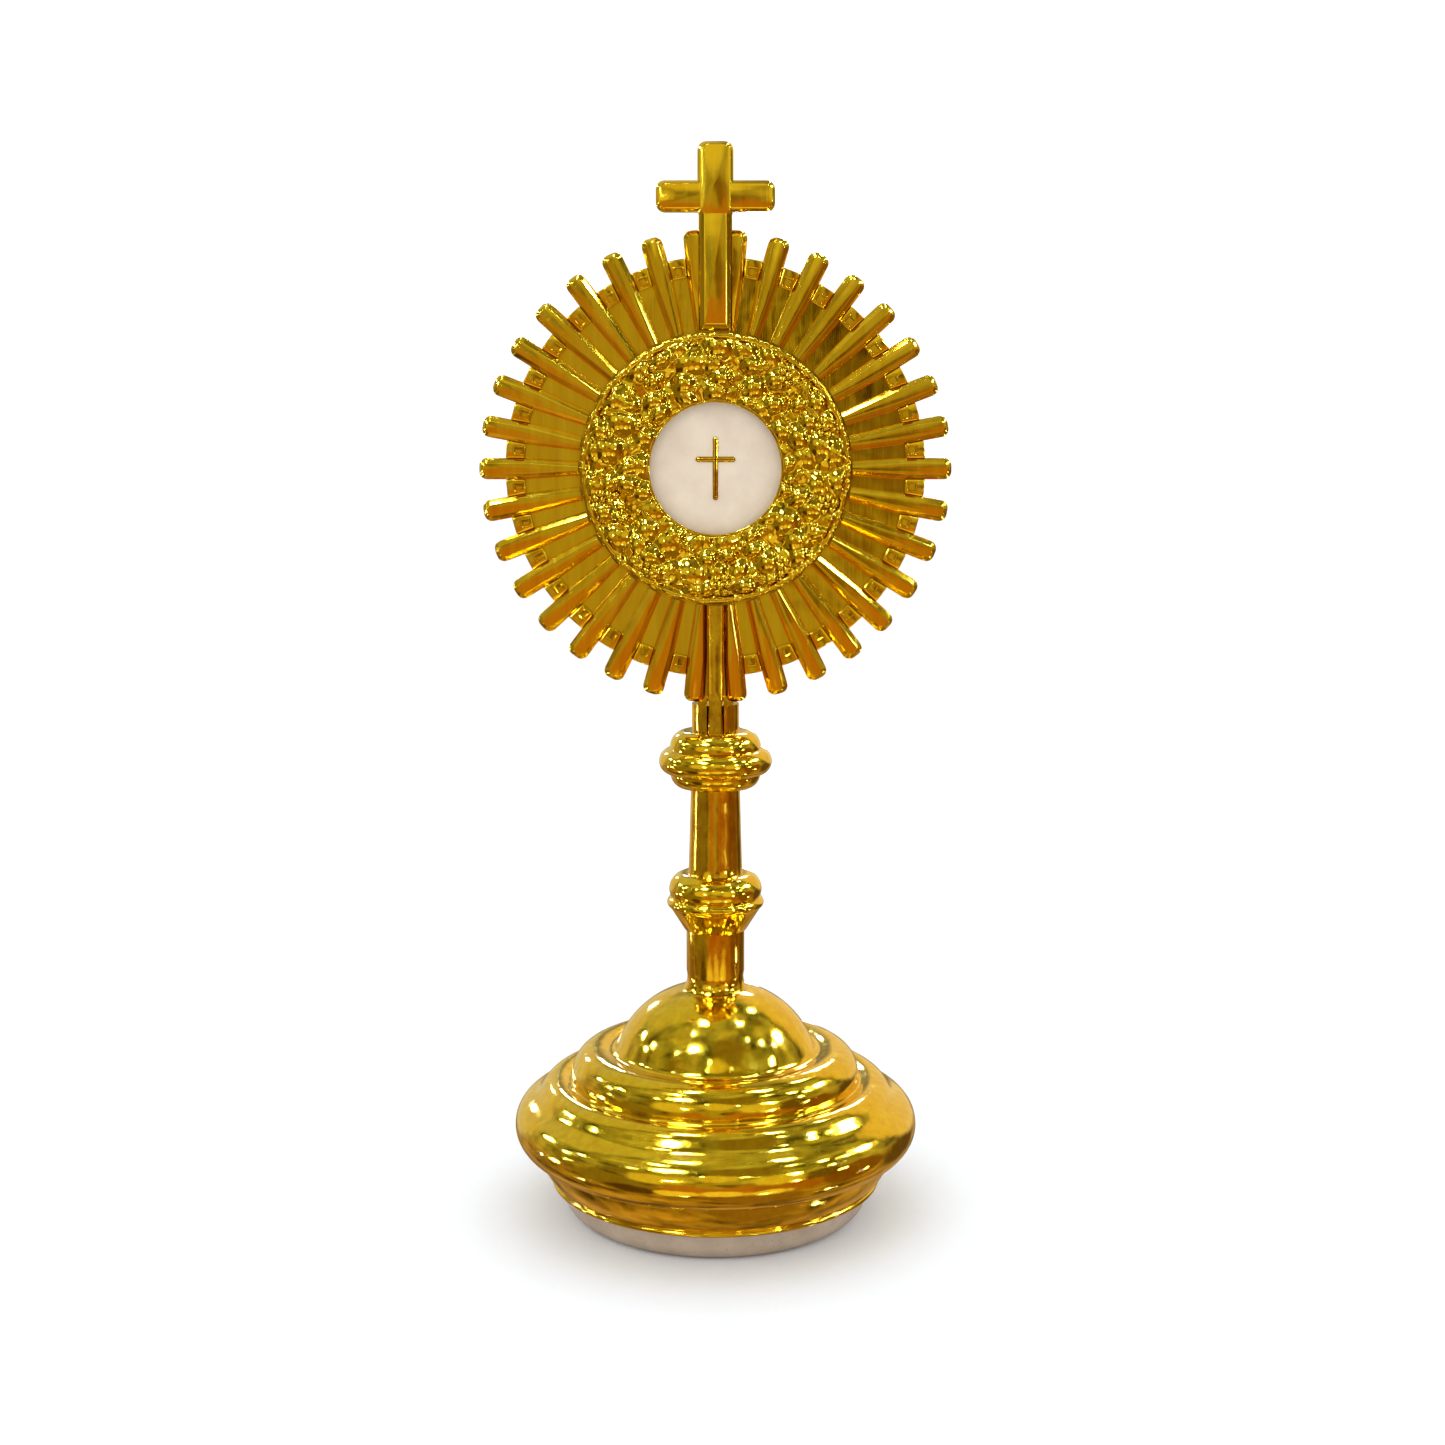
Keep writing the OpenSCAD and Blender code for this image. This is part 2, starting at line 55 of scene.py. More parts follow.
RAYS_LOW, RAYS_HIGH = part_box("sun_rays")
HEAD_Z = (RAYS_LOW.z + RAYS_HIGH.z) / 2 / MM
RAY_TIP_R = RAYS_HIGH.x / MM
PLATE_FRONT = -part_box("glory_plate")[0].y / MM
CROSS_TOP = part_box("cross_finial")[1].z / MM - HEAD_Z
DRUM_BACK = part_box("drum")[1].y / MM
PLATE_R = 45.9
RAY_COUNT = 34
RAY_STEP = TURN / RAY_COUNT
RAY_W = 4.7
RAY_ROOT_W = 3.2
RAY_BEVEL = 1.15
RAY_FULL_R = 42
RAY_ROOT_R = 30.0
RAY_RISE = 1.20
RIB_HALF = 1.9
RIB_END_Z = 109.05
CROSS_HALF = 3.65
TANG_HALF = 4.0
TANG_END_Z = 109.6
TAB_END = 53.95
WINDOW_R = 14.4
WREATH_IN_R = 17.4
WREATH_TROUGH_R = 21.6
WREATH_OUT_R = 28.6
WREATH_R = 29.9
DRUM_R = 18.4

# ---------------------------------------------------------------- shape helpers


def arc(p, q, bulge, steps=12, inset=0.0):
    """Points from p to q on an arc that swells to the left by bulge times the chord."""
    p, q = Vector(p), Vector(q)
    d = q - p
    chord = d.length
    rise = bulge * chord
    radius = (chord * chord / 4 + rise * rise) / (2 * rise)
    centre = (p + q) / 2 + Vector((-d.y, d.x)) / chord * (rise - radius)
    start = math.atan2(p.y - centre.y, p.x - centre.x)
    sweep = 2 * math.asin(min(1.0, chord / (2 * radius)))
    spread = [start - sweep * i / steps for i in range(steps + 1)]
    return [
        (centre.x + (radius - inset) * math.cos(a), centre.y + (radius - inset) * math.sin(a))
        for a in spread
    ]


def softened(points, radius, steps=4, closed=True):
    """The outline with each real corner rounded by about the given radius."""
    nearly_straight = math.radians(160)
    out = []
    count = len(points)
    for i, p in enumerate(points):
        if not closed and i in (0, count - 1):
            out.append(tuple(p))
            continue
        p = Vector(p)
        to_prev = Vector(points[i - 1]) - p
        to_next = Vector(points[(i + 1) % count]) - p
        if to_prev.length < 1e-6 or to_next.length < 1e-6:
            continue
        if to_prev.angle(to_next) > nearly_straight:
            out.append(tuple(p))
            continue
        a = p + to_prev.normalized() * min(radius, to_prev.length * 0.45)
        b = p + to_next.normalized() * min(radius, to_next.length * 0.45)
        for k in range(steps + 1):
            t = k / steps
            out.append(tuple(a.lerp(p, t).lerp(p.lerp(b, t), t)))
    return out


def rectangle(low, high, radius, steps=4):
    """A rounded rectangle between two corners."""
    (x0, y0), (x1, y1) = low, high
    return softened([(x0, y0), (x1, y0), (x1, y1), (x0, y1)], radius, steps)


def on_stem(x, y, z):
    """Millimetres in the row frame to metres."""
    return Vector((x, y, z)) * MM


def on_head(x, y, z):
    """Millimetres across, up and forwards from the centre of the sunburst to metres in the row frame."""
    return Vector((x, -z, HEAD_Z + y)) * MM


def new_object(name, data):
    """An object in the scene that shows the data."""
    thing = bpy.data.objects.new(name, data)
    bpy.context.scene.collection.objects.link(thing)
    return thing


def make_piece(name, shape, finish, body, replaced, sharp=35, smooth=True):
    """A mesh object with a finish, riding on a CAD body and standing for the replaced node."""
    mesh = bpy.data.meshes.new(name)
    mesh.from_pydata([tuple(v) for v in shape.verts], [], shape.faces)
    bm = bmesh.new()
    bm.from_mesh(mesh)
    bmesh.ops.remove_doubles(bm, verts=bm.verts, dist=1e-7)
    bmesh.ops.recalc_face_normals(bm, faces=bm.faces)
    bm.to_mesh(mesh)
    bm.free()
    mesh.materials.append(finish)
    if smooth:
        mesh.shade_smooth()
        mesh.set_sharp_from_angle(angle=math.radians(sharp))
    piece = new_object(name, mesh)
    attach(piece, body)
    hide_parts(replaced)


class Shape:
    """Collects the vertices and faces of one piece."""

    def __init__(self, verts=(), faces=()):
        self.verts = list(verts)
        self.faces = list(faces)

    def add(self, verts, faces):
        start = len(self.verts)
        self.verts += verts
        self.faces += [[start + i for i in f] for f in faces]

    def skin(self, verts, n, wrapped=True, closed=True, capped=False):
        """Joins rows of n points by faces; wrapped joins the last row to the first, closed a row's ends."""
        rows = len(verts) // n
        faces = [list(range(n - 1, -1, -1))] if capped else []
        for k in range(rows if wrapped else rows - 1):
            here, after = k * n, (k + 1) % rows * n
            for i in range(n if closed else n - 1):
                j = (i + 1) % n
                faces.append([here + i, here + j, after + j, after + i])
        if capped:
            faces.append([(rows - 1) * n + i for i in range(n)])
        self.add(verts, faces)

    def turned(self, outline, place=on_stem, segments=SEGMENTS, wobble=None, centre=(0, 0), closed=True):
        """A solid turned from an outline of (radius, height) round a line parallel to the local z axis."""
        verts = []
        for k in range(segments):
            angle = TURN * k / segments
            for r, h in outline:
                scale = wobble(angle, h) if wobble else 1.0
                x = centre[0] + r * scale * math.cos(angle)
                y = centre[1] + r * scale * math.sin(angle)
                verts.append(place(x, y, h))
        self.skin(verts, len(outline), closed=closed)

    def lofted(self, levels, place=on_head, turn=0.0, tilt=None):
        """A closed solid through matching outlines; levels is a list of (outline, height)."""
        c, s = math.cos(turn), math.sin(turn)
        verts = []
        for outline, h in levels:
            for x, y in outline:
                z = h + (tilt(x, y) if tilt else 0.0)
                verts.append(place(x * c + y * s, -x * s + y * c, z))
        self.skin(verts, len(levels[0][0]), wrapped=False, capped=True)

    def ball(self, centre, radii, rings=8, segments=14, turn=0.0):
        """An ellipsoid on the head at a local centre, turned about the local z axis."""
        c, s = math.cos(turn), math.sin(turn)
        verts = []
        for i in range(rings + 1):
            down = math.pi * i / rings
            for k in range(segments):
                a = TURN * k / segments
                x = radii[0] * math.sin(down) * math.cos(a)
                y = radii[1] * math.sin(down) * math.sin(a)
                z = radii[2] * math.cos(down)
                verts.append(on_head(centre[0] + x * c - y * s, centre[1] + x * s + y * c, centre[2] + z))
        self.skin(verts, segments, wrapped=False)

    def block(self, low, high, radius=0.2):
        """A box between two corners with rounded upright edges and softened ends."""
        (x0, y0, z0), (x1, y1, z1) = low, high
        outline = rectangle((x0, y0), (x1, y1), radius, 3)
        cx, cy = (x0 + x1) / 2, (y0 + y1) / 2
        soft = min(radius, (z1 - z0) / 3)

        def drawn(amount):
            kx = 1 - amount / max(x1 - x0, 1e-6) * 2
            ky = 1 - amount / max(y1 - y0, 1e-6) * 2
            return [(cx + (x - cx) * kx, cy + (y - cy) * ky) for x, y in outline]

        levels = [
            (drawn(soft), z0), (drawn(soft * 0.3), z0 + soft * 0.3), (outline, z0 + soft),
            (outline, z1 - soft), (drawn(soft * 0.3), z1 - soft * 0.3), (drawn(soft), z1),
        ]
        self.lofted(levels, on_stem)


# ---------------------------------------------------------------- materials


class Graph:
    """A node tree with short ways to add and join nodes."""

    def __init__(self, owner):
        owner.use_nodes = True
        self.nodes = owner.node_tree.nodes
        self.links = owner.node_tree.links

    def put(self, node, sockets):
        """Sets each socket to a number or colour, or links it to another node's output."""
        for socket, value in sockets.items():
            if isinstance(value, bpy.types.NodeSocket):
                self.links.new(value, node.inputs[socket])
            else:
                node.inputs[socket].default_value = value

    def add(self, kind, sockets=None, **settings):
        node = self.nodes.new("ShaderNode" + kind)
        for key, value in settings.items():
            setattr(node, key, value)
        self.put(node, sockets or {})
        return node

    def noise(self, where, scale, detail=3.0, roughness=0.5, output="Fac"):
        sockets = {"Vector": where, "Scale": scale, "Detail": detail, "Roughness": roughness}
        return self.add("TexNoise", sockets).outputs[output]

    def ramp(self, factor, *stops):
        """A colour ramp through stops of (position, colour)."""
        node = self.add("ValToRGB", {"Fac": factor})
        elements = node.color_ramp.elements
        while len(elements) < len(stops):
            elements.new(0.5)
        for element, (position, colour) in zip(elements, stops):
            element.position = position
            element.color = (*colour, 1.0)
        return node.outputs["Color"]

    def between(self, noise_value, low, high):
        """Spreads the middle of a noise over a range."""
        sockets = {"Value": noise_value, "From Min": 0.3, "From Max": 0.7, "To Min": low, "To Max": high}
        return self.add("MapRange", sockets).outputs["Result"]

    def mixed(self, factor, a, b, blend="MIX"):
        node = self.add("Mix", data_type="RGBA", blend_type=blend)
        self.put(node, {"Factor": factor, "A": a, "B": b})
        return node.outputs["Result"]

    def vector(self, operation, *values):
        node = self.add("VectorMath", dict(enumerate(values)), operation=operation)
        return node.outputs["Value" if operation == "DOT_PRODUCT" else "Vector"]


class Finish(Graph):
    """A material patterned by noise in the piece's own space."""

    def __init__(self, name):
        self.material = bpy.data.materials.new(name)
        super().__init__(self.material)
        self.where = self.add("TexCoord").outputs["Object"]

    def bump(self, height, depth, strength=1.0, over=None):
        node = self.add("Bump", {"Height": height, "Distance": depth, "Strength": strength})
        if over:
            self.put(node, {"Normal": over})
        return node.outputs["Normal"]

    def shaded(self, sockets):
        """Sets or links the surface shader's sockets and returns the material."""
        self.put(self.nodes["Principled BSDF"], sockets)
        return self.material


def gilt(name, pale, deep, rough, peel, grain, crevice_shade=0.0, brushed=1.0, grain_scale=2600):
    """Lacquered gold plating: slow waves, a fine grain and painted shade that darkens the colour towards
    brown in the crevices.

    rough is (lowest, highest) roughness; peel and grain are the depths of the waves and the grain;
    crevice_shade is how strongly the painted crevice shade darkens the colour; brushed stretches the grain
    and the mottling up the metal.
    """
    gold = Finish(name)
    along = gold.add("Mapping", {"Vector": gold.where, "Scale": (1.0, 1.0, brushed)}).outputs["Vector"]
    mottle = gold.noise(along, 420, 4.0, 0.6)
    colour = gold.ramp(mottle, (0.32, deep), (0.66, pale))
    if crevice_shade:
        # Painted shade: ambient occlusion mixes the colour towards dark brown in crevices and corners, where
        # shade falls.
        occlusion_shade = gold.add("AmbientOcclusion", {"Distance": 1.4 * MM}, samples=6).outputs["AO"]
        dark = gold.ramp(occlusion_shade, (0.0, (crevice_shade,) * 3), (0.85, (0.0, 0.0, 0.0)))
        colour = gold.mixed(dark, colour, (0.24, 0.12, 0.012, 1.0))
    waves = gold.bump(gold.noise(gold.where, 95, 2.0), peel)
    return gold.shaded({
        "Base Color": colour,
        "Roughness": gold.between(mottle, *rough),
        "Normal": gold.bump(gold.noise(along, grain_scale, 3.0, 0.65), grain, 1.0, waves),
        "Metallic": 1.0,
        "Coat Weight": 0.25,
        "Coat Roughness": 0.06,
    })


def composition():
    """The pale hard pad: greyish pink with dark specks and a rubbed surface."""
    pad = Finish("pad_composition")
    cloud = pad.noise(pad.where, 130, 5.0, 0.6)
    pale = pad.ramp(cloud, (0.3, (0.35, 0.27, 0.19)), (0.7, (0.49, 0.39, 0.29)))
    cells = pad.add("TexVoronoi", {"Vector": pad.where, "Scale": 620}).outputs["Distance"]
    specks = pad.ramp(cells, (0.0, (1.0, 1.0, 1.0)), (0.17, (0.0, 0.0, 0.0)))
    return pad.shaded({
        "Base Color": pad.mixed(specks, pale, (0.22, 0.15, 0.12, 1.0)),
        "Roughness": pad.between(cloud, 0.62, 0.85),
        "Normal": pad.bump(pad.noise(pad.where, 1500, 4.0, 0.7), 0.06 * MM, 0.8),
    })


def wafer():
    """The baked disc: warm white, faintly mottled and quite matt."""
    bread = Finish("wafer_bread")
    cloud = bread.noise(bread.where, 160, 4.0, 0.55)
    return bread.shaded({
        "Base Color": bread.ramp(cloud, (0.3, (0.65, 0.53, 0.40)), (0.7, (0.73, 0.62, 0.48))),
        "Roughness": bread.between(cloud, 0.48, 0.66),
        "Normal": bread.bump(bread.noise(bread.where, 1900, 3.0, 0.6), 0.03 * MM, 0.7),
        "Subsurface Weight": 0.08,
        "Subsurface Radius": (0.002, 0.001, 0.0006),
    })


def plain_metal(name, dark, light, rough):
    """Turned steel or black cast iron."""
    metal = Finish(name)
    cloud = metal.noise(metal.where, 700, 5.0, 0.6)
    return metal.shaded({
        "Base Color": metal.ramp(cloud, (0.3, dark), (0.7, light)),
        "Roughness": metal.between(cloud, *rough),
        "Normal": metal.bump(cloud, 0.02 * MM, 0.6),
        "Metallic": 1.0,
    })


def crystal():
    """Clear polished glass with a trace of smears."""
    glass = Finish("clear_crystal")
    cloud = glass.noise(glass.where, 90, 4.0, 0.6)
    return glass.shaded({
        "Base Color": glass.ramp(cloud, (0.2, (0.90, 0.95, 0.95)), (0.8, (0.97, 0.99, 0.99))),
        "Roughness": glass.between(cloud, 0.01, 0.07),
        "Transmission Weight": 1.0,
        "IOR": 1.45,
    })


PALE_GOLD = (0.90, 0.63, 0.022)
DEEP_GOLD = (0.80, 0.50, 0.010)
WARM_PALE = (0.90, 0.60, 0.020)
WARM_DEEP = (0.70, 0.36, 0.008)
RELIEF_PALE = (0.80, 0.58, 0.024)
RELIEF_DEEP = (0.66, 0.42, 0.010)
BRIGHT = gilt("gilt_bright", PALE_GOLD, DEEP_GOLD, (0.05, 0.13), 0.34 * MM, 0.004 * MM)
STEM = gilt("gilt_stem", WARM_PALE, WARM_DEEP, (0.06, 0.17), 0.24 * MM, 0.012 * MM, 0.0, 0.5)
PLATE = gilt("gilt_plate", PALE_GOLD, DEEP_GOLD, (0.07, 0.15), 0.20 * MM, 0.012 * MM, 0.8, 0.1, 1100)
RELIEF = gilt("gilt_relief", RELIEF_PALE, RELIEF_DEEP, (0.02, 0.06), 0.10 * MM, 0.002 * MM, 0.5)
BACK = gilt("gilt_back", PALE_GOLD, DEEP_GOLD, (0.12, 0.24), 0.15 * MM, 0.010 * MM, 0.4, 0.3, 1500)
STEEL = plain_metal("turned_steel", (0.42, 0.42, 0.43), (0.62, 0.62, 0.62), (0.25, 0.4))
IRON = plain_metal("black_iron", (0.02, 0.02, 0.022), (0.07, 0.07, 0.07), (0.55, 0.8))
COMPOSITION = composition()
WAFER = wafer()
CRYSTAL = crystal()

# ---------------------------------------------------------------- foot

FOOT_TOP = (6.95, 50.5)
DOME_CREASE = (22.8, 35.8)
STEP_CREASE = (32, 28.9)
RIM_CREASE = (39.8, 26.4)
RIM_FOOT = (40.8, 14.3)
FLANGE_EDGE = (36.8, 7.4)
FLANGE_SEAT = (31, 12.6)
FLANGE_BORE_R = 34.6
PAD_TOP = (35.2, 7)
PAD_SIDE = ((34.4, 4), (29.5, 0))
FOOT_WALL = 1.2
ROD_BORE = 2.6


def on_circle(angle, spread, height):
    """A point for noise that comes back to itself after one turn."""
    return Vector((math.cos(angle) * spread, math.sin(angle) * spread, height))


def spun_wobble(angle, height):
    """The slight waves of a thin spun shell, never larger than the true round."""
    wave = noise.noise(on_circle(angle, 1.7, height * 0.11))
    fine = noise.noise(on_circle(angle, 5.0, height * 0.32))
    return 1.0 - 0.0022 * (0.5 + 0.5 * wave) - 0.0008 * (0.5 + 0.5 * fine)


def hammered_wobble(angle, height):
    """The flange's slightly dented round."""
    dent = noise.noise(on_circle(angle, 9.0, height * 0.4))
    return spun_wobble(angle, height) - 0.0022 * (0.5 + 0.5 * dent)


def foot_curve(inset):
    """The four swellings of the foot from the stem to the groove above the flange."""
    return (
        arc(FOOT_TOP, DOME_CREASE, 0.14, 40, inset)
        + arc(DOME_CREASE, STEP_CREASE, 0.40, 36, inset)
        + arc(STEP_CREASE, RIM_CREASE, 0.33, 28, inset)
        + arc(RIM_CREASE, RIM_FOOT, 0.42, 44, inset)
    )


def settled(points, spacing=0.4, passes=26):
    """The same line resampled evenly and relaxed, so its creases become soft hollows."""
    lengths = [0.0]
    for p, q in zip(points, points[1:]):
        lengths.append(lengths[-1] + math.dist(p, q))
    count = int(lengths[-1] / spacing)
    even, at = [], 0
    for i in range(count + 1):
        target = lengths[-1] * i / count
        while at < len(points) - 2 and lengths[at + 1] < target:
            at += 1
        span = max(lengths[at + 1] - lengths[at], 1e-9)
        t = (target - lengths[at]) / span
        even.append(tuple(a + (b - a) * t for a, b in zip(points[at], points[at + 1])))
    for _ in range(passes):
        threes = zip(even, even[1:], even[2:])
        inside = [tuple((a + 2 * b + c) / 4 for a, b, c in zip(p, q, r)) for p, q, r in threes]
        even = [even[0]] + inside + [even[-1]]
    return even


def build_foot():
    shell = Shape()
    inner = [(RIM_FOOT[0] - FOOT_WALL, RIM_FOOT[1])] + foot_curve(FOOT_WALL)[::-1]
    top = [(ROD_BORE, FOOT_TOP[1] - FOOT_WALL), (ROD_BORE, FOOT_TOP[1])]
    shell.turned(settled(foot_curve(0)) + inner + top, wobble=spun_wobble)
    make_piece("spun_foot", shell, BRIGHT, "stand", "foot_shell", sharp=28)

    flange = Shape()
    edge_r, edge_z = FLANGE_EDGE
    face = arc((RIM_FOOT[0] - 0.5, RIM_FOOT[1]), (edge_r, edge_z + 0.7), 0.06, 10)
    bead = arc((edge_r, edge_z + 0.6), (edge_r - 0.7, edge_z - 0.3), 0.6, 8)
    seat = [FLANGE_SEAT, (FLANGE_SEAT[0], RIM_FOOT[1])]
    skirt = [(FLANGE_BORE_R, edge_z), (FLANGE_BORE_R, FLANGE_SEAT[1])]
    flange.turned(seat + face + bead + skirt, wobble=hammered_wobble)
    make_piece("turned_flange", flange, BRIGHT, "stand", "foot_flange")

    pad = Shape()
    outline = [(0, PAD_TOP[1]), PAD_TOP] + arc(*PAD_SIDE, 0.16, 14) + [(0, 0)]
    pad.turned(outline, closed=False, segments=160)
    make_piece("moulded_pad", pad, COMPOSITION, "stand", "base_pad")


# ---------------------------------------------------------------- stem

LOWER_KNOP_Z = (64, 76.8)
UPPER_KNOP_Z = (96.4, 109)
SOCKET_R = 4.0
SOCKET_FLOOR = 99


def build_stem():
    foot_z = FOOT_TOP[1]
    low, high = LOWER_KNOP_Z
    lower = Shape()
    flare = arc((7.2, foot_z), (6.5, foot_z + 4), 0.12, 8)
    lower.turned(flare + [(6.5, low - 0.1), (6.4, low), (ROD_BORE, low), (ROD_BORE, foot_z)])
    make_piece("lower_tube", lower, STEM, "stand", "stem_lower")

    knop = Shape()
    cushion = arc((6.4, high), (9.9, 71.4), 0.30, 20)
    fillet = arc((10.1, 71.3), (10.3, 69.2), 0.30, 10)
    cone = softened([(10.1, 69.1), (9.95, 68.8), (7.0, low + 0.1), (6.9, low)], 0.1, closed=False)
    knop.turned([(ROD_BORE, high)] + cushion + fillet + cone + [(ROD_BORE, low)])
    make_piece("lower_turned_knop", knop, BRIGHT, "stand", "lower_knop")

    middle = Shape()
    top = UPPER_KNOP_Z[0]
    side = [(6.2, high), (6.05, 77.4), (5.95, 78.4), (5.45, top)]
    middle.turned([(ROD_BORE, high)] + side + [(ROD_BORE, top)])
    make_piece("middle_tube", middle, STEM, "stand", "stem_middle")

    low, high = UPPER_KNOP_Z
    upper = Shape()
    shoulder = arc((6.4, high), (10.1, 105), 0.22, 16)
    cushion = arc((10.3, 104.9), (10.9, 99.5), 0.36, 24)
    cup = arc((10, 99.4), (8.2, low), 0.15, 12)
    bore = [(ROD_BORE, low), (ROD_BORE, SOCKET_FLOOR), (SOCKET_R, SOCKET_FLOOR)]
    upper.turned([(SOCKET_R, high)] + shoulder + cushion + cup + bore)
    make_piece("upper_turned_knop", upper, BRIGHT, "stand", "upper_knop")


# ---------------------------------------------------------------- sunburst


def ray_angle(i):
    return (i + 0.5) * RAY_STEP


def ray_outline(root_r, inset, steps=5):
    """One upright ray drawn in by a bevel, with rounded tip corners."""
    root = RAY_ROOT_W / 2 - inset
    side = RAY_W / 2 - inset
    tip = RAY_TIP_R - inset * 0.8
    cut = 1.75 - inset * 0.7
    quarter = [math.pi / 2 * k / steps for k in range(steps + 1)]
    left = [(-root, root_r), (-side, RAY_FULL_R)]
    left += [(-side + cut - cut * math.cos(t), tip - cut + cut * math.sin(t)) for t in quarter]
    right = [(-x, y) for x, y in reversed(left)]
    return (left + right)[::-1]


def beside(outline, angle, half):
    """The outline cut off where it would pass within half of the head's middle line."""
    c, s = math.cos(angle), math.sin(angle)
    side = 1 if s > 0 else -1
    cleared = []
    for x, y in outline:
        across = x * c + y * s
        lack = half - side * across
        cleared.append((x + side * lack / c, y) if lack > 0 else (x, y))
    return cleared


def build_rays():
    """The bevelled bars on the front of the plate, each a hair out of true."""
    rays = Shape()
    base = PLATE_FRONT
    middle_r = 41
    section = (
        (0, -0.1), (0, 0.10), (0.05, 0.22),
        (RAY_BEVEL - 0.16, RAY_RISE - 0.12), (RAY_BEVEL - 0.04, RAY_RISE - 0.03),
        (RAY_BEVEL + 0.12, RAY_RISE),
    )
    for i in range(RAY_COUNT):
        lean = random.uniform(-0.03, 0.03)
        pitch = random.uniform(-0.006, 0.006)
        angle = ray_angle(i)

        def tilt(x, y):
            return x * lean + (y - middle_r) * pitch

        levels = []
        for inset, rise in section:
            outline = ray_outline(RAY_ROOT_R, inset)
            if i in (0, RAY_COUNT - 1):
                outline = beside(outline, angle, CROSS_HALF)
            if i in (RAY_COUNT // 2 - 1, RAY_COUNT // 2):
                outline = beside(outline, angle, RIB_HALF + inset * 0.8)
            levels.append((outline, base + rise))
        rays.lofted(levels, turn=angle, tilt=tilt)
    make_piece("ray_bars", rays, PLATE, "stand", "sun_rays", sharp=24)


BLOCK_LOW_R = 41.7
BLOCK_RISE = 0.6
PIP_R = 43.2


def edge_outline(inset):
    """One block between two rays at the plate's edge."""
    half = RAY_STEP / 2
    lateral = RAY_W / 2 + inset

    c, s = math.cos(half), math.sin(half)

    def by_the_ray(rho):
        return rho * s - lateral * c, rho * c + lateral * s

    low, high = BLOCK_LOW_R + inset, PLATE_R - inset
    (x0, y0), (x1, y1) = by_the_ray(low), by_the_ray(high)
    return softened([(x0, y0), (x1, y1), (0, high + 0.02), (-x1, y1), (-x0, y0)], 0.35, 3)


def pip_levels(top):
    """A small square stud with a sunken middle, as outlines and heights."""
    square = rectangle((-1.15, -1.2), (1.15, 1.2), 0.25, 3)

    def scaled(k):
        return [(x * k, PIP_R + y * k) for x, y in square]

    steps = (
        (1.0, -0.1), (1.0, 0.28), (0.93, 0.40), (0.78, 0.42),
        (0.68, 0.30), (0.58, -0.02), (0.3, -0.05),
    )
    return [(scaled(k), top + h) for k, h in steps]


def build_edge_blocks():
    """A block between each two rays, apart from where the cross and the rib run."""
    blocks = Shape()
    top = PLATE_FRONT + BLOCK_RISE
    levels = [
        (edge_outline(0), PLATE_FRONT - 0.1), (edge_outline(0), top - 0.22),
        (edge_outline(0.08), top - 0.07), (edge_outline(0.24), top),
    ]
    for i in range(RAY_COUNT):
        if i in (0, RAY_COUNT // 2):
            continue
        blocks.lofted(levels, turn=i * RAY_STEP)
        blocks.lofted(pip_levels(top), turn=i * RAY_STEP)
    make_piece("edge_tiles", blocks, PLATE, "stand", "edge_blocks", sharp=24)


def filled(name, loops, z_back, z_front, bevel):
    """A flat plate on the head with holes and rounded edges; loops are outlines in millimetres."""
    curve = bpy.data.curves.new(name, "CURVE")
    curve.dimensions = "2D"
    curve.fill_mode = "BOTH"
    curve.extrude = ((z_front - z_back) / 2 - bevel) * MM
    curve.bevel_depth = bevel * MM
    curve.bevel_resolution = 2
    curve.offset = -bevel * MM
    for loop in loops:
        spline = curve.splines.new("POLY")
        spline.points.add(len(loop) - 1)
        for point, (x, y) in zip(spline.points, loop):
            point.co = (x * MM, y * MM, 0.0, 1.0)
        spline.use_cyclic_u = True
    holder = new_object(name, curve)
    bpy.context.view_layer.update()
    depsgraph = bpy.context.evaluated_depsgraph_get()
    mesh = bpy.data.meshes.new_from_object(holder.evaluated_get(depsgraph))
    bpy.data.objects.remove(holder)
    bpy.data.curves.remove(curve)
    middle = (z_front + z_back) / 2
    verts = [on_head(v.co.x / MM, v.co.y / MM, v.co.z / MM + middle) for v in mesh.vertices]
    faces = [list(p.vertices) for p in mesh.polygons]
    bpy.data.meshes.remove(mesh)
    return Shape(verts, faces)


def circle(radius, count=180):
    angles = [TURN * k / count for k in range(count)]
    return [(radius * math.sin(a), radius * math.cos(a)) for a in angles]


def plate_outline():
    """The plate's edge: a tab for each ray, a wide tab behind the cross, a tang below and arcs between."""
    half = RAY_W / 2 - 0.05
    tip = RAY_TIP_R - 0.1
    cut = 1.6
    shoulder = math.sqrt(PLATE_R ** 2 - half ** 2)
    quarter = [math.pi / 2 * k / 5 for k in range(6)]
    rising = [(-half, shoulder)]
    rising += [(-half + cut * (1 - math.cos(t)), tip - cut + cut * math.sin(t)) for t in quarter]
    falling = [(-x, y) for x, y in reversed(rising)]
    half_turn = math.asin(half / PLATE_R)

    def turned(local, angle):
        c, s = math.cos(angle), math.sin(angle)
        return [(x * c + y * s, -x * s + y * c) for x, y in local]

    def rim(start, end, steps=6):
        middle = [start + (end - start) * k / steps for k in range(1, steps)]
        return [(PLATE_R * math.sin(a), PLATE_R * math.cos(a)) for a in middle]

    def bridge(angle, x, end):
        """A straight-sided tab of half width x that joins the two ray tips beside the middle line."""
        level = (tip - abs(x * math.sin(angle))) / math.cos(angle)
        return [(x, level), (x, end), (-x, end), (-x, level)]

    points = []
    lower = RAY_COUNT // 2 - 1
    for i in range(RAY_COUNT):
        angle = ray_angle(i)
        if i not in (0, lower + 1):
            points += turned(rising, angle)
        if i == lower:
            points += bridge(angle, TANG_HALF, -(HEAD_Z - TANG_END_Z))
        elif i == RAY_COUNT - 1:
            points += bridge(angle, -CROSS_HALF, TAB_END)
        else:
            points += turned(falling, angle) + rim(angle + half_turn, angle + RAY_STEP - half_turn)
    return points


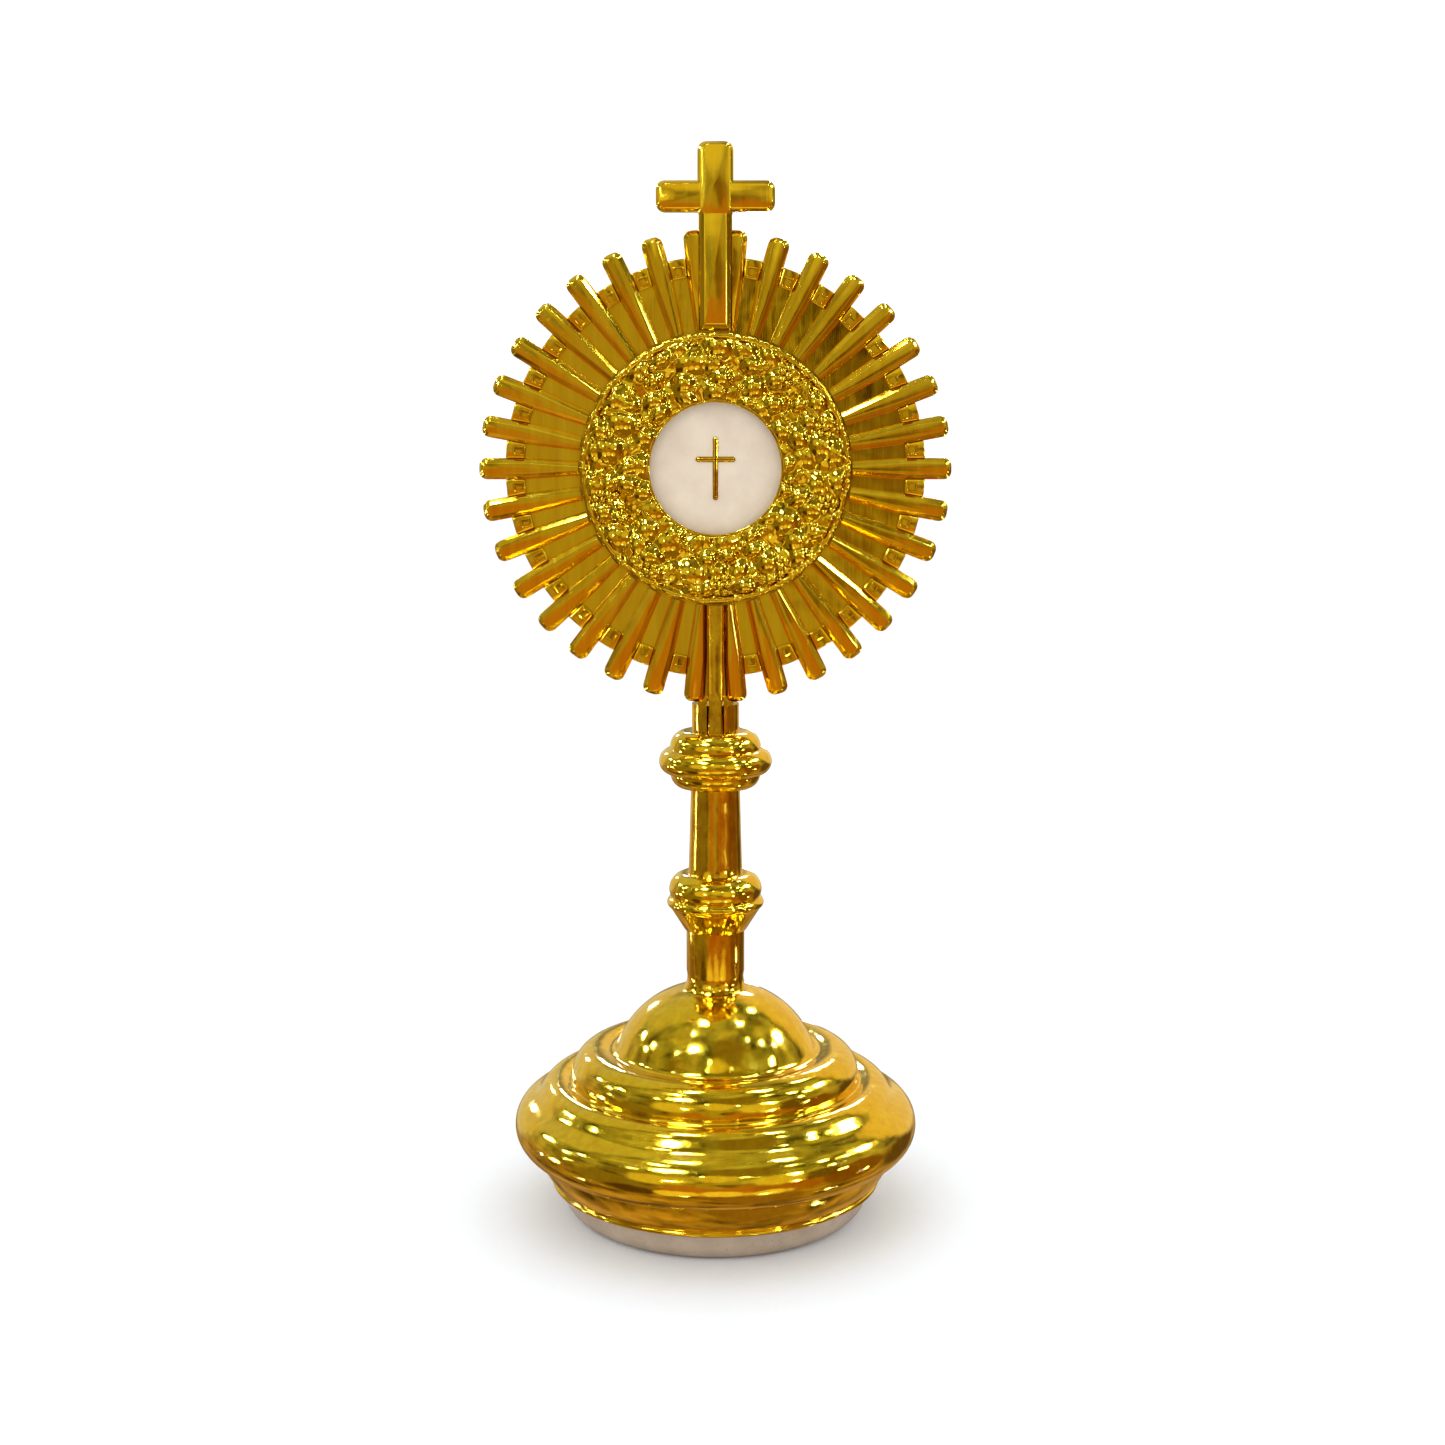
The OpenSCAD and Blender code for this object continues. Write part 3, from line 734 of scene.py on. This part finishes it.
def build_plate():
    plate = filled("plate", [plate_outline(), circle(DRUM_R)], -PLATE_FRONT, PLATE_FRONT, 0.22)
    make_piece("sunburst_plate", plate, PLATE, "stand", "glory_plate", smooth=False)


def bar_outline(x, y0, y1, cut, inset, steps=4):
    """An upright bar of half width x with round corners, drawn in by a bevel."""
    w, low, high = x - inset, y0 + inset, y1 - inset
    c = max(0.2, cut - inset * 0.5)
    corners = (
        (w - c, low + c, -90), (w - c, high - c, 0),
        (-w + c, high - c, 90), (-w + c, low + c, 180),
    )
    out = []
    for cx, cy, start in corners:
        for k in range(steps + 1):
            a = math.radians(start + 90 * k / steps)
            out.append((cx + c * math.cos(a), cy + c * math.sin(a)))
    return out


def bar_levels(x, y0, y1, cut, back, front, bevel=1.45):
    """A bar from its back face to a narrower front face with softened edges."""
    edge = 1.75
    section = (
        (0.25, back), (0.08, back + 0.08), (0, back + 0.25),
        (0, edge), (0.1, edge + 0.22), (bevel - 0.3, front - 0.12), (bevel, front),
    )
    return [(bar_outline(x, y0, y1, cut, inset), h) for inset, h in section]


def build_cross():
    cross = Shape()
    top = CROSS_TOP - 0.05
    cross.lofted(bar_levels(CROSS_HALF, RAY_ROOT_R, 59.3, 0.6, PLATE_FRONT, 2.93))
    cross.lofted(bar_levels(3.9, 54, top, 1.9, -PLATE_FRONT, 2.98, 0.95))
    cross.lofted(bar_levels(12.9, 55.35, 62.05, 1.9, -PLATE_FRONT + 0.04, 2.86, 0.95))
    make_piece("finial_cross", cross, PLATE, "stand", "cross_finial", sharp=24)


def build_rib():
    """The flat rib that runs from the wreath down over the front of the stem."""
    rib = Shape()
    top, bottom = -RAY_ROOT_R, -(HEAD_Z - RIB_END_Z)
    top_front, bottom_front = 3.15, 6.05
    rows = 12
    section = [(-RIB_HALF, 0.0), (-RIB_HALF, 0.66), (-1.84, 0.76), (-1.38, 0.98), (-1.2, 1.0)]
    section += [(-x, h) for x, h in reversed(section)]
    verts = []
    for k in range(rows + 1):
        t = k / rows
        y = top + (bottom - top) * t
        front = top_front + (bottom_front - top_front) * t - PLATE_FRONT
        verts += [on_head(x, y, PLATE_FRONT + front * h) for x, h in section]
    rib.skin(verts, len(section), wrapped=False, capped=True)
    make_piece("front_rib", rib, STEM, "stand", "lower_rib", sharp=24)


# ---------------------------------------------------------------- wreath

RIM_TOP = 3.0
CLUSTERS = 10


def clamped(t):
    return max(0.0, min(1.0, t))


def wreath_height(r):
    """Height of the wreath's ground at a radius: an inner roll, a trough and a fuller outer roll."""
    if r < WREATH_TROUGH_R:
        t = (r - WINDOW_R) / (WREATH_TROUGH_R - WINDOW_R)
        return 2.55 + 0.75 * math.sin(math.pi * clamped(t))
    t = (r - WREATH_TROUGH_R) / (WREATH_OUT_R - WREATH_TROUGH_R)
    return 2.55 - 0.25 * t + 1.1 * math.sin(math.pi * clamped(t))


def polar(r, angle):
    """A place on the head at a radius and an angle clockwise from the top."""
    return r * math.sin(angle), r * math.cos(angle)


class Relief:
    """A soft cast surface: smooth lumps that run together over the wreath's ground."""

    SECTORS = 120

    def __init__(self):
        self.sectors = [[] for _ in range(self.SECTORS)]

    def lump(self, r, angle, across, along, rise, turn):
        """An oval lump; across and along are its half sizes, and turn swings it from the radius."""
        x, y = polar(r, angle)
        heading = turn - angle
        item = (x, y, math.cos(heading), math.sin(heading), across, along, rise)
        reach = int(math.ceil(max(across, along) / r / TURN * self.SECTORS)) + 1
        middle = int(angle / TURN * self.SECTORS)
        for k in range(middle - reach, middle + reach + 1):
            self.sectors[k % self.SECTORS].append(item)

    def height(self, x, y):
        """The surface's height: folded ground, the lumps blended into it and the climb to the rim."""
        r = math.hypot(x, y)
        angle = math.atan2(x, y) % TURN
        nearby = self.sectors[int(angle / TURN * self.SECTORS) % self.SECTORS]
        folds = noise.noise(Vector((x * 0.30, y * 0.30, 3.0)))
        wrinkles = abs(noise.noise(Vector((x * 0.50, y * 0.50, 7.0))))
        h = wreath_height(r) - 0.60 + 0.55 * folds - 0.35 * wrinkles
        for cx, cy, c, s, across, along, rise in nearby:
            dx, dy = x - cx, y - cy
            u, v = (dx * c + dy * s) / across, (-dx * s + dy * c) / along
            q = u * u + v * v
            if q < 1.5:
                top = wreath_height(math.hypot(cx, cy)) - 1.25 + rise * (1.0 - 0.66 * q)
                blend = max(0.0, 0.45 - abs(top - h))
                h = max(top, h) + blend * blend / 1.8
        climb = clamped((r - 27.5) / 1.1)
        return h + (RIM_TOP - 0.15 - h) * climb * climb * (3 - 2 * climb)


def lumpy_relief():
    """Fruit, buds and curled leaves in two rows inside the trough and two outside it."""
    relief = Relief()
    rows = (
        (16.4, 17, 2.6, 2.0, 1.65), (19.4, 17, 3.0, 2.4, 2.00),
        (23.4, 22, 3.1, 2.4, 2.05), (26.8, 26, 2.9, 2.3, 2.05),
    )
    for r, count, across, along, rise in rows:
        for i in range(count):
            angle = (i + random.uniform(-0.3, 0.3)) * TURN / count
            size = random.uniform(0.75, 1.15)
            place = r + random.uniform(-0.6, 0.6)
            length = along * size * random.uniform(0.8, 1.4)
            top = rise * random.uniform(0.8, 1.1)
            relief.lump(place, angle % TURN, across * size, length, top, random.uniform(0, math.pi))
    return relief


RELIEF_FORM = lumpy_relief()


def relief_ring(name, r_in, r_out, around, across, node, lip=None):
    """A ring of the relief between two radii, closed at the back; lip is a plain inner edge's height."""
    edge, start = [], r_in
    if lip is not None:
        edge = [(r_in, lip - 0.25), (r_in + 0.08, lip - 0.06), (r_in + 0.25, lip), (r_in + 0.42, lip - 0.1)]
        start = r_in + 0.55
    verts = []
    for k in range(around):
        a = TURN * k / around
        for r, h in [(r_in, PLATE_FRONT)] + edge:
            verts.append(on_head(*polar(r, a), h))
        for i in range(across + 1):
            x, y = polar(start + (r_out - start) * i / across, a)
            verts.append(on_head(x, y, RELIEF_FORM.height(x, y)))
        verts.append(on_head(*polar(r_out, a), PLATE_FRONT))
    ring = Shape()
    ring.skin(verts, len(verts) // around)
    make_piece(name, ring, RELIEF, "stand", node, sharp=70)


def add_leaf(shape, r, angle, turn, length, width, rise):
    """A soft three-pointed leaf with a sunken vein, half drowned in the relief."""
    cx, cy = polar(r, angle)
    base = wreath_height(r) - 0.60
    along, across = 14, 7
    c, s = math.cos(turn - angle), math.sin(turn - angle)
    verts = []
    for i in range(along + 1):
        t = i / along
        outline = max(0.05, math.sin(math.pi * t)) ** 0.75 * (0.78 + 0.22 * math.cos(3 * TURN * t))
        half = width / 2 * outline
        for j in range(-across, across + 1):
            u = j / across
            x, y = u * half, (t - 0.5) * length
            dome = (1 - u ** 4) * rise * math.sin(math.pi * (0.08 + 0.84 * t)) ** 0.6
            vein = -0.12 * math.exp(-(u * 4) ** 2)
            fold = 0.05 * math.sin(2 * math.pi * (t + abs(u) * 0.6))
            px, py = cx + x * c - y * s, cy + x * s + y * c
            verts.append(on_head(px, py, base + dome + vein + fold))
    row = 2 * across + 1
    top = len(verts)
    verts += [Vector((v.x, v.y + 1.3 * MM, v.z)) for v in verts]
    faces = []
    for i in range(along):
        for j in range(row - 1):
            a = i * row + j
            faces.append([a, a + 1, a + 1 + row, a + row])
            faces.append([top + a, top + a + row, top + a + 1 + row, top + a + 1])
    for i in range(along):
        a, b = i * row, i * row + row - 1
        faces.append([a, a + row, top + a + row, top + a])
        faces.append([b, top + b, top + b + row, b + row])
    for j in range(row - 1):
        a, b = j, along * row + j
        faces.append([a, top + a, top + a + 1, a + 1])
        faces.append([b, b + 1, top + b + 1, top + b])
    shape.add(verts, faces)


def build_leaves():
    """Vine leaves in pairs beside each bunch of grapes, and small ones inside the trough."""
    leaves = Shape()
    for i in range(CLUSTERS):
        middle = (i + 0.5) * TURN / CLUSTERS + random.uniform(-0.03, 0.03)
        add_leaf(leaves, 25.9, middle - 0.09, math.radians(55 + random.uniform(-12, 12)), 4.8, 3.4, 0.85)
        add_leaf(leaves, 24.4, middle + 0.10, math.radians(-58 + random.uniform(-12, 12)), 4.4, 3.0, 0.80)
        add_leaf(leaves, 18.2, middle + 0.05, math.radians(random.uniform(60, 120)), 3.8, 2.5, 0.70)
    make_piece("vine_leaves", leaves, RELIEF, "stand", "wreath_leaves", sharp=60)


def build_grapes():
    """Bunches of grapes outside the trough and loose berries inside it."""
    grapes = Shape()
    rows = ((-0.5, 0.5), (-1, 0, 1), (-0.5, 0.5), (0,))
    for i in range(CLUSTERS):
        middle = i * TURN / CLUSTERS + 0.05 * math.sin(i * 2.1)
        for k, row in enumerate(rows):
            r = 27.0 - k * 1.45
            for j in row:
                angle = middle + (j * 1.65 + random.uniform(-0.15, 0.15)) / r
                size = random.uniform(0.85, 1.1)
                centre = (*polar(r, angle), wreath_height(r) - random.uniform(0.25, 0.6))
                grapes.ball(centre, (size, size, size * 0.85))
    loose = 18
    for i in range(loose):
        r = random.uniform(16.4, 20.2)
        angle = (i + random.uniform(-0.3, 0.3)) * TURN / loose
        size = random.uniform(0.6, 0.95)
        centre = (*polar(r, angle), wreath_height(r) - 0.4)
        grapes.ball(centre, (size, size * 1.2, size * 0.8), turn=random.uniform(0, math.pi))
    make_piece("grape_beads", grapes, RELIEF, "stand", "wreath_grapes", sharp=60)


def build_wreath_edge():
    """The thin hammered rim round the wreath."""
    count = 480
    r_in, r_out = WREATH_OUT_R - 0.1, WREATH_R - 0.3
    section = arc((r_in, RIM_TOP), (r_out, RIM_TOP - 0.7), 0.28, 12)
    verts = []
    for k in range(count):
        a = TURN * k / count
        dent = noise.noise(on_circle(a, 11, 0.4))
        scallop = 0.5 + 0.5 * math.cos(a * 64)
        lift = 0.50 * dent + 0.12 * scallop
        draw = -0.30 * abs(dent) - 0.08 * (1 - scallop) + 0.12
        verts.append(on_head(*polar(r_in, a), PLATE_FRONT))
        verts += [on_head(*polar(r + draw, a), h + lift) for r, h in section]
        verts.append(on_head(*polar(r_out + draw, a), PLATE_FRONT))
    edge = Shape()
    edge.skin(verts, len(section) + 2)
    make_piece("wreath_edge", edge, RELIEF, "stand", "wreath_rim", sharp=60)


# ---------------------------------------------------------------- case, host and door

HOST_LOW, HOST_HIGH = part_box("host")
DRUM_IN_R = 16.8
DRUM_FLANGE_R = 25
DRUM_FLANGE = 1.4
CASE_R = 16.5
CASE_LIP_R = 14.6
CASE_BORE_R = 15.65
CASE_FLANGE_R = 21
CASE_GAP = 0.3
CASE_FLANGE = 1.5
CASE_BACK = DRUM_BACK + CASE_GAP + CASE_FLANGE
HINGE_X = 20.9
HINGE_Y = 16.4
HINGE_HALF = 6.3
CASE_KNUCKLE_LOW = 2.3
DOOR_KNUCKLE_HALF = 2
KNUCKLE_R = 1.3
PIN_R = 0.6
DOOR_R = 18.6
DOOR_BORE_R = 14.3
DOOR_LIP_R = 13.4
DOOR_DEPTH = 2
DOOR_KNOB_X = 16.2


def build_drum():
    drum = Shape()
    back, flange_back = -DRUM_BACK, -(PLATE_FRONT + DRUM_FLANGE)
    outline = [
        (DRUM_IN_R, PLATE_FRONT), (DRUM_R, PLATE_FRONT),
        (DRUM_R, -PLATE_FRONT), (DRUM_FLANGE_R, -PLATE_FRONT), (DRUM_FLANGE_R, flange_back),
        (DRUM_R, flange_back), (DRUM_R, back), (DRUM_IN_R, back),
    ]
    drum.turned(softened(outline, 0.28), on_head, 192)
    make_piece("drum_tube", drum, BACK, "stand", "drum")


def add_knuckle(shape, low, high, bore):
    """A turned hinge knuckle between two heights above the head's centre."""
    outline = rectangle((bore, HEAD_Z + low), (KNUCKLE_R, HEAD_Z + high), 0.15)
    shape.turned(outline, segments=40, centre=(HINGE_X, HINGE_Y))


def build_case():
    case = Shape()
    front, rear = 0.7, DRUM_BACK + CASE_GAP
    outline = [
        (CASE_LIP_R, front), (CASE_R, front), (CASE_R, -rear), (CASE_FLANGE_R, -rear),
        (CASE_FLANGE_R, -CASE_BACK), (CASE_BORE_R, -CASE_BACK), (CASE_BORE_R, 0.1), (CASE_LIP_R, 0.1),
    ]
    case.turned(softened(outline, 0.22), on_head, 192)
    case.block((19.2, rear + 0.02, HEAD_Z - HINGE_HALF), (22.2, rear + CASE_FLANGE, HEAD_Z + HINGE_HALF))
    for low, high in ((-HINGE_HALF, -CASE_KNUCKLE_LOW), (CASE_KNUCKLE_LOW, HINGE_HALF)):
        case.block((19.65, rear + 1.2, HEAD_Z + low), (22.15, HINGE_Y, HEAD_Z + high), 0.15)
        add_knuckle(case, low, high, PIN_R)
    make_piece("sliding_case", case, BACK, "luna", "luna_case")


def build_pin():
    pin = Shape()
    low, high, tip = HEAD_Z - HINGE_HALF, HEAD_Z + HINGE_HALF, 0.15
    side = [(PIN_R - tip, low), (PIN_R, low + tip), (PIN_R, high - tip), (PIN_R - tip, high)]
    pin.turned([(0, low)] + side + [(0, high)], segments=28, centre=(HINGE_X, HINGE_Y), closed=False)
    make_piece("case_hinge_pin", pin, STEEL, "luna", "hinge_pin")


def build_tabs():
    """The two finger tabs above and below the door."""
    tabs = Shape()
    middle_y, half_w, half_h, length = 19.9, 3.5, 0.65, 5
    for side in (1, -1):
        level, rise = middle_y * side, half_h * side
        outline = rectangle((-half_w, level - rise), (half_w, level + rise), 0.4)[::side]
        slim = [(x * 0.93, level + (y - level) * 0.7) for x, y in outline]
        end = -CASE_BACK - length
        tabs.lofted([(slim, end), (outline, end + 0.4), (outline, -CASE_BACK)])
    make_piece("finger_tabs", tabs, BACK, "luna", "pull_tabs")


def depth(metres):
    """A depth to the rear in the row frame as a forward distance from the plate's middle, in millimetres."""
    return -metres / MM


def build_host():
    disc = Shape()
    front, back = depth(HOST_LOW.y), depth(HOST_HIGH.y)
    r = HOST_HIGH.x / MM
    face = [(0, front), (r - 2.2, front), (r - 1.7, front - 0.1), (r - 0.25, front - 0.02), (r, front - 0.25)]
    disc.turned(face + [(r, back + 0.25), (r - 0.25, back), (0, back)], on_head, 128, closed=False)
    make_piece("bread_disc", disc, WAFER, "luna", "host")


def stroke(centre, length, half, turn):
    """Outlines and heights of a rounded raised line, pressed into the disc."""
    levels = [(half, -0.1), (half * 0.92, 0.22), (half * 0.6, 0.42), (half * 0.2, 0.5)]
    c, s = math.cos(turn), math.sin(turn)
    mx, my = centre
    moved = []
    for w, h in levels:
        outline = bar_outline(w, -length / 2 + (half - w), length / 2 - (half - w), w * 0.95, 0)
        moved.append(([(mx + x * c + y * s, my - x * s + y * c) for x, y in outline], depth(HOST_LOW.y) + h))
    return moved


def build_emblem():
    """A plain raised cross on the disc."""
    emblem = Shape()
    half = 0.62
    emblem.lofted(stroke((0, 0), 14, half, 0))
    emblem.lofted(stroke((0, 2), 8.8, half, math.pi / 2))
    make_piece("plain_cross", emblem, STEM, "luna", "host_emblem")


def on_knob(x, y, z):
    """Millimetres round the door knob's axis, z to the rear, to metres in the row frame."""
    return Vector((x - DOOR_KNOB_X, z, HEAD_Z + y)) * MM


def build_door():
    door = Shape()
    inner = -(CASE_BACK + CASE_GAP)
    outer = inner - DOOR_DEPTH
    outline = [
        (DOOR_BORE_R, inner), (DOOR_R, inner), (DOOR_R, outer + 0.5), (17.9, outer), (14.6, outer),
        (DOOR_LIP_R, outer + 0.3), (DOOR_LIP_R, outer + 0.5), (DOOR_BORE_R, outer + 0.5),
    ]
    door.turned(softened(outline, 0.2), on_head, 192)
    half = DOOR_KNUCKLE_HALF
    door.block((16.4, -inner + 0.2, HEAD_Z - half), (HINGE_X, -outer - 0.2, HEAD_Z + half), 0.15)
    add_knuckle(door, -half, half, PIN_R + 0.05)
    make_piece("back_door", door, BACK, "door", "door_frame")

    pane = Shape()
    front, back, r = inner - 0.1, outer + 0.5, 14.25
    edge = [(r - 0.25, front), (r, front - 0.2), (r, back + 0.2), (r - 0.25, back)]
    pane.turned([(0, front)] + edge + [(0, back)], on_head, 128, closed=False)
    make_piece("door_pane", pane, CRYSTAL, "door", "door_glass")

    knob = Shape()
    foot = -outer
    neck = [(0, foot - 0.05), (1.2, foot - 0.05), (1.15, foot + 0.3), (0.9, foot + 0.7), (0.9, foot + 1.0)]
    head = arc((0, foot + 3.35), (0.9, foot + 1.0), 0.40, 14)[::-1]
    knob.turned(neck + head, on_knob, 48, closed=False)
    make_piece("door_pull", knob, BRIGHT, "door", "door_knob")


# ---------------------------------------------------------------- CAD nodes that keep their shape


def repaint():
    """Finishes and softened edges for the plain pieces that are shown as they are."""
    finishes = {
        "stem_upper": STEM, "tang_screw": STEEL, "drum_screws": STEEL, "host_clip": STEEL,
        "foot_weight": IRON, "tie_rod": STEEL, "tie_washer": STEEL, "tie_nut": STEEL,
    }
    for name, finish in finishes.items():
        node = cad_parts[name]
        node.data.materials.clear()
        node.data.materials.append(finish)
        node.data.shade_smooth()
        node.data.set_sharp_from_angle(angle=math.radians(35))
        soft = node.modifiers.new("soft_edges", "BEVEL")
        soft.width = 0.12 * MM
        soft.segments = 2
        soft.limit_method = "ANGLE"
        soft.angle_limit = math.radians(50)


# ---------------------------------------------------------------- studio


def build_floor():
    """A white sweep, left out of the reflections: the metal sees the painted room instead."""
    mesh = bpy.data.meshes.new("floor")
    half = 6.0
    corners = [(-half, -half, 0), (half, -half, 0), (half, half, 0), (-half, half, 0)]
    mesh.from_pydata(corners, [], [[0, 1, 2, 3]])
    floor = new_object("floor", mesh)
    floor.visible_glossy = False
    paper = Finish("pale_floor")
    cloud = paper.noise(paper.where, 3, 2.0)
    mesh.materials.append(paper.shaded({
        "Base Color": paper.ramp(cloud, (0.3, (0.90, 0.93, 0.96)), (0.7, (0.91, 0.94, 0.97))),
        "Roughness": 0.9,
        "Specular IOR Level": 0.1,
    }))


def heading(azimuth, elevation):
    """A direction seen from the object: azimuth from its front towards +X, in degrees."""
    a, e = math.radians(azimuth), math.radians(elevation)
    return Vector((math.cos(e) * math.sin(a), -math.cos(e) * math.cos(a), math.sin(e)))


# What the polished metal reflects, as (azimuth, elevation, half width, soft edge, colour), in degrees.
ROOM = (
    (0, -20, 24, 6, (0.52, 0.23, 0.050)),
    (42, -15, 20, 6, (0.42, 0.18, 0.040)),
    (84, -13, 18, 8, (0.24, 0.11, 0.030)),
    (130, -14, 14, 8, (0.13, 0.08, 0.03)),
    (-62, -14, 18, 8, (0.26, 0.20, 0.08)),
    (-48, 22, 8, 8, (0.24, 0.18, 0.08)),
    (22, 48, 12, 9, (0.26, 0.20, 0.09)),
    (62, 8, 10, 8, (0.16, 0.10, 0.04)),
    (-52, -34, 9, 8, (0.10, 0.05, 0.02)),
    (40, -58, 14, 10, (0.30, 0.17, 0.07)),
    (-24, -34, 9, 4, (1.00, 0.84, 0.45)),
    (4, -33, 9, 4, (1.00, 0.84, 0.45)),
    (32, -32, 9, 4, (1.00, 0.84, 0.45)),
    (-34, 15, 13, 8, (0.78, 0.68, 0.32)),
    (0, 27, 9, 7, (0.78, 0.68, 0.32)),
    (34, 13, 12, 8, (0.78, 0.68, 0.32)),
    (0, 1.5, 11.3, 2.5, (0.46, 0.37, 0.17)),
    (8, 0, 4.5, 3, (0.22, 0.14, 0.045)),
    (3.4, 1.5, 2.5, 1.2, (0.24, 0.15, 0.05)),
    (3.1, 1.6, 1.7, 0.8, (0.018, 0.010, 0.004)),
    (150, 18, 24, 8, (0.90, 0.72, 0.38)),
    (-150, 8, 18, 10, (0.74, 0.66, 0.40)),
    (-140, 50, 18, 10, (0.60, 0.58, 0.42)),
    (-35, 50, 6, 5, (0.95, 0.92, 0.66)),
    (104, 32, 8, 5, (0.95, 0.92, 0.66)),
)

# Lamps and window panes: (azimuth, elevation, half width, brightness).
LAMPS = (
    (-35, 50, 5.2, 44), (104, 33, 5.6, 44), (88, 34, 2.4, 34), (-118, 26, 3.0, 34), (-98, 24, 2.4, 36),
    (46, 25, 2.6, 40), (-25, 13, 2.0, 40), (44, -1, 2.0, 36), (75, 2, 1.7, 36), (73, 24, 2.0, 40),
    (76, 43, 2.2, 40), (-154, 19, 3.0, 16), (167, 30, 3.4, 16),
    (-90, 80, 3.6, 44), (95, 70, 3.2, 40), (-92, 33, 2.2, 40), (-90, 6, 1.4, 34), (92, -20, 1.5, 26),
    (-90, -35, 1.8, 24), (90, -50, 1.8, 22), (-100, -11, 2.2, 40), (-114, -14, 1.4, 30), (-60, 66, 2.2, 40),
    (60, 54, 1.6, 36), (-172, 24, 2.0, 24), (140, 52, 2.2, 30), (-8, 37, 1.2, 34), (177, -3, 2.4, 16),
    (-20, -44, 1.8, 14), (28, -38, 1.8, 14), (18, 30, 1.1, 34), (-55, 40, 1.4, 34),
)


def add_patch(room, where, colour, centre, inner, outer, paint):
    """Paints one round patch over the colour so far and returns the new colour."""
    edge = room.add("MapRange", interpolation_type="SMOOTHSTEP")
    room.put(edge, {
        "Value": room.vector("DOT_PRODUCT", where, centre),
        "From Min": math.cos(math.radians(outer)),
        "From Max": math.cos(math.radians(inner)),
    })
    return room.mixed(edge.outputs["Result"], colour, (*paint, 1.0))


def build_world():
    """White to the camera and to matt surfaces; a cluttered room with many lamps in reflections."""
    world = bpy.data.worlds.new("studio")
    bpy.context.scene.world = world
    room = Graph(world)
    room.nodes.clear()
    exact = room.add("TexCoord").outputs["Generated"]
    height = room.add("SeparateXYZ", {"Vector": exact}).outputs["Z"]
    lift = room.add("MapRange", {"Value": height, "From Min": -1.0, "From Max": 1.0}).outputs["Result"]
    sky = room.ramp(
        lift,
        (0.0, (0.44, 0.27, 0.11)), (0.40, (0.42, 0.28, 0.11)), (0.50, (0.40, 0.33, 0.18)),
        (0.62, (0.41, 0.38, 0.26)), (0.80, (0.41, 0.40, 0.28)), (1.0, (0.42, 0.41, 0.32)),
    )
    clutter = room.between(room.noise(exact, 3.4, 3.0, 0.55), 0.12, 1.55)
    colour = room.mixed(1.0, sky, clutter, "MULTIPLY")

    raggedness = 0.10
    jitter = room.noise(exact, 12.0, 3.0, output="Color")
    shifted = room.vector("MULTIPLY_ADD", jitter, (raggedness,) * 3, exact)
    centred = room.vector("SUBTRACT", shifted, (raggedness / 2,) * 3)
    where = room.vector("NORMALIZE", centred)
    for azimuth, elevation, half, soft, paint in ROOM:
        colour = add_patch(room, where, colour, heading(azimuth, elevation), half, half + soft, paint)
    for azimuth, elevation, half, power in LAMPS:
        cool = (power * 0.8, power, power * 2.4)
        colour = add_patch(room, where, colour, heading(azimuth, elevation), half * 0.8, half * 1.15, cool)

    reflected = room.add("Background", {"Color": colour}).outputs["Background"]
    plain = room.add("Background", {"Color": (1.0, 1.0, 1.0, 1.0), "Strength": 1.20}).outputs["Background"]
    glossy = room.add("LightPath").outputs["Is Glossy Ray"]
    choice = room.add("MixShader", {"Fac": glossy, 1: plain, 2: reflected}).outputs["Shader"]
    room.add("OutputWorld", {"Surface": choice})


def build_lights():
    """One soft key that gives matt surfaces a direction; it doesn't show in the metal."""
    data = bpy.data.lights.new("key", "AREA")
    data.size = 0.9
    data.energy = 2.0
    aim = Vector((0, 0, 0.12))
    light = new_object("key", data)
    light.location = (-0.6, -0.9, 1.1)
    light.rotation_mode = "QUATERNION"
    light.rotation_quaternion = (aim - light.location).to_track_quat("-Z", "Y")
    light.visible_camera = False
    light.visible_glossy = False


def build_camera():
    """The photograph's view: level with the sunburst and tipped down six degrees."""
    data = bpy.data.cameras.new("camera")
    data.lens = 51.8
    data.sensor_width = 36.0
    data.shift_x = 0.0049
    data.shift_y = -0.0702
    data.clip_start = 0.01
    camera = new_object("camera", data)
    camera.location = (0.0, -0.4574, 0.18126)
    camera.rotation_euler = (math.radians(90 - 5.984), 0.0, 0.0)
    bpy.context.scene.camera = camera


build_camera()
build_foot()
build_stem()
build_plate()
build_rays()
build_edge_blocks()
build_cross()
build_rib()
relief_ring("relief_ground", WREATH_IN_R, WREATH_OUT_R, 720, 56, "wreath_ring")
relief_ring("window_bezel", WINDOW_R, WREATH_IN_R, 600, 13, "bezel", lip=2.2)
build_leaves()
build_grapes()
build_wreath_edge()
build_drum()
build_case()
build_pin()
build_tabs()
build_host()
build_emblem()
build_door()
repaint()
build_floor()
build_world()
build_lights()
bpy.context.scene.view_settings.view_transform = "Standard"
